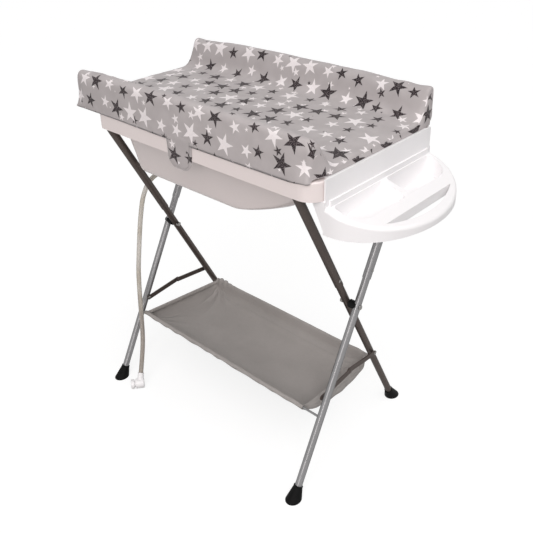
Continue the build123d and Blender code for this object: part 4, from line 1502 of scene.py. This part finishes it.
@dataclass
class Sewing:
    """Rows of stitches laid along lines by geometry nodes."""

    pitch: float = 0.0042
    stitch: float = 0.0030
    radius: float = 0.00045

    def tree(self) -> bpy.types.NodeTree:
        """Build the stitching tree.

        Returns:
            The node group, with its sizes as named inputs.
        """
        group = bpy.data.node_groups.new("stitch_row", "GeometryNodeTree")
        face = group.interface
        face.new_socket("Line", in_out="INPUT", socket_type="NodeSocketGeometry")
        for key in ("Pitch", "Stitch", "Radius"):
            face.new_socket(key, in_out="INPUT", socket_type="NodeSocketFloat")
        face.new_socket("Finish", in_out="INPUT", socket_type="NodeSocketMaterial")
        face.new_socket("Stitches", in_out="OUTPUT", socket_type="NodeSocketGeometry")
        new = group.nodes.new
        start, end = new("NodeGroupInput"), new("NodeGroupOutput")
        line, spots = new("GeometryNodeMeshToCurve"), new("GeometryNodeCurveToPoints")
        spots.mode = "LENGTH"
        turn = new("FunctionNodeAlignRotationToVector")
        turn.axis = "Z"
        bead = new("GeometryNodeMeshCylinder")
        bead.inputs["Vertices"].default_value = 6
        lay = new("GeometryNodeInstanceOnPoints")
        real = new("GeometryNodeRealizeInstances")
        paint = new("GeometryNodeSetMaterial")
        wires = (
            (start, "Line", line, "Mesh"),
            (line, "Curve", spots, "Curve"),
            (start, "Pitch", spots, "Length"),
            (spots, "Tangent", turn, "Vector"),
            (start, "Radius", bead, "Radius"),
            (start, "Stitch", bead, "Depth"),
            (spots, "Points", lay, "Points"),
            (bead, "Mesh", lay, "Instance"),
            (turn, "Rotation", lay, "Rotation"),
            (lay, "Instances", real, "Geometry"),
            (real, "Geometry", paint, "Geometry"),
            (start, "Finish", paint, "Material"),
            (paint, "Geometry", end, "Stitches"),
        )
        for source, leaves, target, enters in wires:
            group.links.new(source.outputs[leaves], target.inputs[enters])
        return group

    def sew(self, name: str, lines: list[list[Vector]], material: Material) -> Piece:
        """Stitch along lines.

        Args:
            name: Piece name.
            lines: Points of each seam.
            material: Thread.

        Returns:
            One mesh of all the stitches.
        """
        mesh = bpy.data.meshes.new(name)
        points, edges = [], []
        for line in lines:
            edges += [(len(points) + i, len(points) + i + 1) for i in range(len(line) - 1)]
            points += [tuple(p) for p in line]
        mesh.from_pydata(points, edges, [])
        piece = add_object(name, mesh)
        group = self.tree()
        rows = piece.modifiers.new("rows", "NODES")
        rows.node_group = group
        values = {"Pitch": self.pitch, "Stitch": self.stitch, "Radius": self.radius, "Finish": material}
        for item in group.interface.items_tree:
            if item.in_out == "INPUT" and item.name in values:
                rows[item.identifier] = values[item.name]
        settle(piece)
        return piece


@dataclass
class Carried:
    """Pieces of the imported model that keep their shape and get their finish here."""

    def dress(self, finishes: dict[str, Material]) -> None:
        """Give each carried piece its finish.

        Args:
            finishes: Material for each node name.
        """
        for name, material in finishes.items():
            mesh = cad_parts[name].data
            mesh.materials.clear()
            mesh.materials.append(material)
            LOG.info("dressed %s", name)


@dataclass(frozen=True)
class SoftBox:
    """Rectangular lamp and what it points at."""

    name: str
    energy: float
    place: tuple[float, float, float]
    aim: tuple[float, float, float]
    size: Pair


@dataclass
class Studio:
    """Pale floor, soft light and the camera of the photograph's view."""

    eye: tuple[float, float, float] = (1.1193, -1.1951, 1.4644)
    yaw: float = 43.362
    pitch: float = 26.951
    roll: float = -1.47
    lens: float = 47.468
    shift: Pair = (-0.00259, -0.1034)
    ambient: float = 0.33
    fill: Colour = (1.0, 0.99, 0.985)
    white: Colour = (1.0, 1.0, 1.0)
    floor_tone: float = 0.28
    floor_size: float = 30.0
    sun: float = 1.50
    sun_from: tuple[float, float, float] = (0.46, -0.12, 0.88)
    sun_away: float = 6.0
    sun_spread: float = 70.0
    middle: tuple[float, float, float] = (0.0, 0.0, 0.5)
    warm: Colour = (1.0, 0.955, 0.945)
    boxes: tuple[SoftBox, ...] = (
        SoftBox("front_strip", 14.0, (0.62, -2.55, 0.95), (0.0, 0.0, 0.40), (0.55, 2.0)),
        SoftBox("front_high_box", 28.0, (1.55, -1.95, 2.3), (0.0, 0.0, 0.75), (2.0, 1.2)),
    )

    def camera(self) -> None:
        """Set the camera at the photograph's view."""
        yaw, pitch, roll = (math.radians(a) for a in (self.yaw, self.pitch, self.roll))
        back = Vector((math.sin(yaw) * math.cos(pitch), -math.cos(yaw) * math.cos(pitch), math.sin(pitch)))
        right = (-back).cross(Vector((0, 0, 1))).normalized()
        up = right.cross(-back)
        level_right = right * math.cos(roll) + up * math.sin(roll)
        level_up = up * math.cos(roll) - right * math.sin(roll)
        turn = Matrix((level_right, level_up, back)).transposed()
        data = bpy.data.cameras.new("camera")
        data.lens, data.sensor_width = self.lens, 36.0
        data.shift_x, data.shift_y = self.shift
        data.clip_start, data.clip_end = 0.05, 100.0
        eye = add_object("camera", data)
        eye.matrix_world = Matrix.Translation(self.eye) @ turn.to_4x4()
        bpy.context.scene.camera = eye

    def background_share(self, tree: bpy.types.NodeTree) -> Socket:
        """Whether a ray shows the background.

        Args:
            tree: Tree to add to.

        Returns:
            1 for camera, glossy and transmitted rays, else 0.
        """
        path = tree.nodes.new("ShaderNodeLightPath")
        share = path.outputs["Is Camera Ray"]
        for kind in ("Is Glossy Ray", "Is Transmission Ray"):
            most = tree.nodes.new("ShaderNodeMath")
            most.operation = "MAXIMUM"
            tree.links.new(share, most.inputs[0])
            tree.links.new(path.outputs[kind], most.inputs[1])
            share = most.outputs[0]
        return share

    def world(self) -> None:
        """White surround for what is seen, soft fill for what is lit."""
        world = bpy.data.worlds.new("surround")
        bpy.context.scene.world = world
        world.use_nodes = True
        tree = world.node_tree
        tree.nodes.clear()
        fill, seen = tree.nodes.new("ShaderNodeBackground"), tree.nodes.new("ShaderNodeBackground")
        fill.inputs["Color"].default_value = (*self.fill, 1.0)
        fill.inputs["Strength"].default_value = self.ambient
        seen.inputs["Color"].default_value = (*self.white, 1.0)
        seen.inputs["Strength"].default_value = 1.0
        mix, out = tree.nodes.new("ShaderNodeMixShader"), tree.nodes.new("ShaderNodeOutputWorld")
        tree.links.new(self.background_share(tree), mix.inputs[0])
        tree.links.new(fill.outputs[0], mix.inputs[1])
        tree.links.new(seen.outputs[0], mix.inputs[2])
        tree.links.new(mix.outputs[0], out.inputs["Surface"])

    def floor(self) -> None:
        """Pale floor that keeps the table's soft shadow."""
        size = self.floor_size
        mesh = bpy.data.meshes.new("floor")
        corners = [(-size, -size, 0.0), (size, -size, 0.0), (size, size, 0.0), (-size, size, 0.0)]
        mesh.from_pydata(corners, [], [(0, 1, 2, 3)])
        material = bpy.data.materials.new("pale_floor")
        material.use_nodes = True
        tree = material.node_tree
        tree.nodes.clear()
        matt, glow = tree.nodes.new("ShaderNodeBsdfDiffuse"), tree.nodes.new("ShaderNodeEmission")
        matt.inputs["Color"].default_value = (self.floor_tone, self.floor_tone, self.floor_tone, 1.0)
        glow.inputs["Color"].default_value = (*self.white, 1.0)
        strength = tree.nodes.new("ShaderNodeMath")
        strength.operation = "MULTIPLY"
        strength.inputs[1].default_value = 1.0 - 0.75 * self.floor_tone
        tree.links.new(self.background_share(tree), strength.inputs[0])
        tree.links.new(strength.outputs[0], glow.inputs["Strength"])
        both, out = tree.nodes.new("ShaderNodeAddShader"), tree.nodes.new("ShaderNodeOutputMaterial")
        tree.links.new(matt.outputs[0], both.inputs[0])
        tree.links.new(glow.outputs[0], both.inputs[1])
        tree.links.new(both.outputs[0], out.inputs["Surface"])
        mesh.materials.append(material)
        piece = add_object("floor", mesh)

    def lamp(self, name: str, kind: str, energy: float, place: Vector, aim: Vector,
             **settings: object) -> None:
        """Add a lamp.

        Args:
            name: Lamp name.
            kind: Lamp type.
            energy: Its strength.
            place: Where it stands.
            aim: What it points at.
            settings: More of its properties.
        """
        data = bpy.data.lights.new(name, kind)
        data.energy = energy
        for key, value in settings.items():
            setattr(data, key, value)
        turn = (aim - place).to_track_quat("-Z", "Y").to_matrix()
        add_object(name, data).matrix_world = Matrix.Translation(place) @ turn.to_4x4()

    def light(self) -> None:
        """Broad soft key from above right, a soft box and an upright strip at the front."""
        middle = Vector(self.middle)
        place = middle + Vector(self.sun_from) * self.sun_away
        self.lamp("soft_key", "SUN", self.sun, place, middle, angle=math.radians(self.sun_spread))
        for box in self.boxes:
            self.lamp(box.name, "AREA", box.energy, Vector(box.place), Vector(box.aim), shape="RECTANGLE",
                      size=box.size[0], size_y=box.size[1], color=self.warm)

    def build(self) -> None:
        """Set up camera, surround, floor and lamps."""
        bpy.context.scene.view_settings.view_transform = "Standard"
        self.camera()
        self.world()
        self.floor()
        self.light()


def carried_finishes() -> dict[str, Material]:
    """Finishes of the carried pieces.

    Returns:
        Material for each node name.
    """
    # The two frame paints are lit and shaded copies of one paint. The outer frame's paler paint is the painted
    # lit copy. The inner frame's darker, browner paint is painted shade for tubes that face down, away from
    # the light. The braces and the rear shelf wire share the shaded copy.
    lit_frame_paint = TubePaint("lit_frame_paint", (0.225, 0.222, 0.225), (0.365, 0.360, 0.365), 0.75).material()
    shaded_frame_paint = TubePaint("shaded_frame_paint", (0.080, 0.064, 0.058), (0.140, 0.116, 0.105), 0.45).material()
    steel = ZincSteel().material()
    rubber = Rubber("foot_rubber", (0.004, 0.004, 0.004), (0.012, 0.012, 0.012), (0.55, 0.70)).material()
    black = Rubber("black_plastic", (0.005, 0.005, 0.005), (0.012, 0.012, 0.012), (0.40, 0.55)).material()
    bath = MouldedPlastic("bath_plastic", (0.81, 0.73, 0.715), (0.78, 0.70, 0.685)).material()
    white = MouldedPlastic("tray_plastic", (0.92, 0.905, 0.912), (0.895, 0.88, 0.89)).material()
    board = Hardboard().material()
    groups = (
        # Outer frame and front wire take the painted lit copy of the frame paint; inner frame, rear wire and
        # braces take the painted shade copy.
        (lit_frame_paint, "outer_top_bow outer_leg_left outer_leg_right shelf_wire_front"),
        (shaded_frame_paint, "inner_top_bow inner_leg_left inner_leg_right shelf_wire_rear brace_link_outer_left "
                     "brace_link_outer_right brace_link_inner_left brace_link_inner_right"),
        (steel, "bow_rivets_outer bow_rivets_inner brace_pins_outer brace_pins_inner pivot_bolts pivot_nuts "
                "hinge_leaves hinge_pins hose_clamp"),
        (rubber, "foot_front_left foot_front_right foot_rear_left foot_rear_right"),
        (black, "pivot_spacers hinge_brackets"),
        (bath, "tub_shell"),
        (white, "side_tray drain_spout drain_strainer hose_elbow hose_cap"),
        (board, "pad_board"),
    )
    return {name: material for material, names in groups for name in names.split()}


def main() -> None:
    """Build and dress the table, piece by piece."""
    logging.basicConfig(level=logging.INFO, format="%(name)s: %(message)s")
    Studio().build()
    hose = DrainHose()
    hose.dress(hose.build(ClearHose().material()))
    LOG.info("laid the hose")
    Carried().dress(carried_finishes())
    print_cloth, thread, sewing = StarCloth().material(), Thread().material(), Sewing()
    mat = PaddedMat.fitted()
    cover = mat.build(print_cloth)
    mat.inflate(cover, Filling())
    mat.dress(cover)
    LOG.info("filled the mat")
    tab = PullTab.fitted()
    tab.dress(tab.build(print_cloth))
    tab_seam = sewing.sew("mat_tab_stitches", [tab.edge()], thread)
    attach(tab_seam, Body.MAT.value)
    LOG.info("sewed the tab")
    shelf = Shelf.fitted()
    sheet = shelf.build(ShelfWeave().material())
    shelf.dress(sheet, sewing.sew("shelf_stitches", shelf.seams(), thread))
    LOG.info("hung the shelf")


if __name__ == "__main__":
    main()
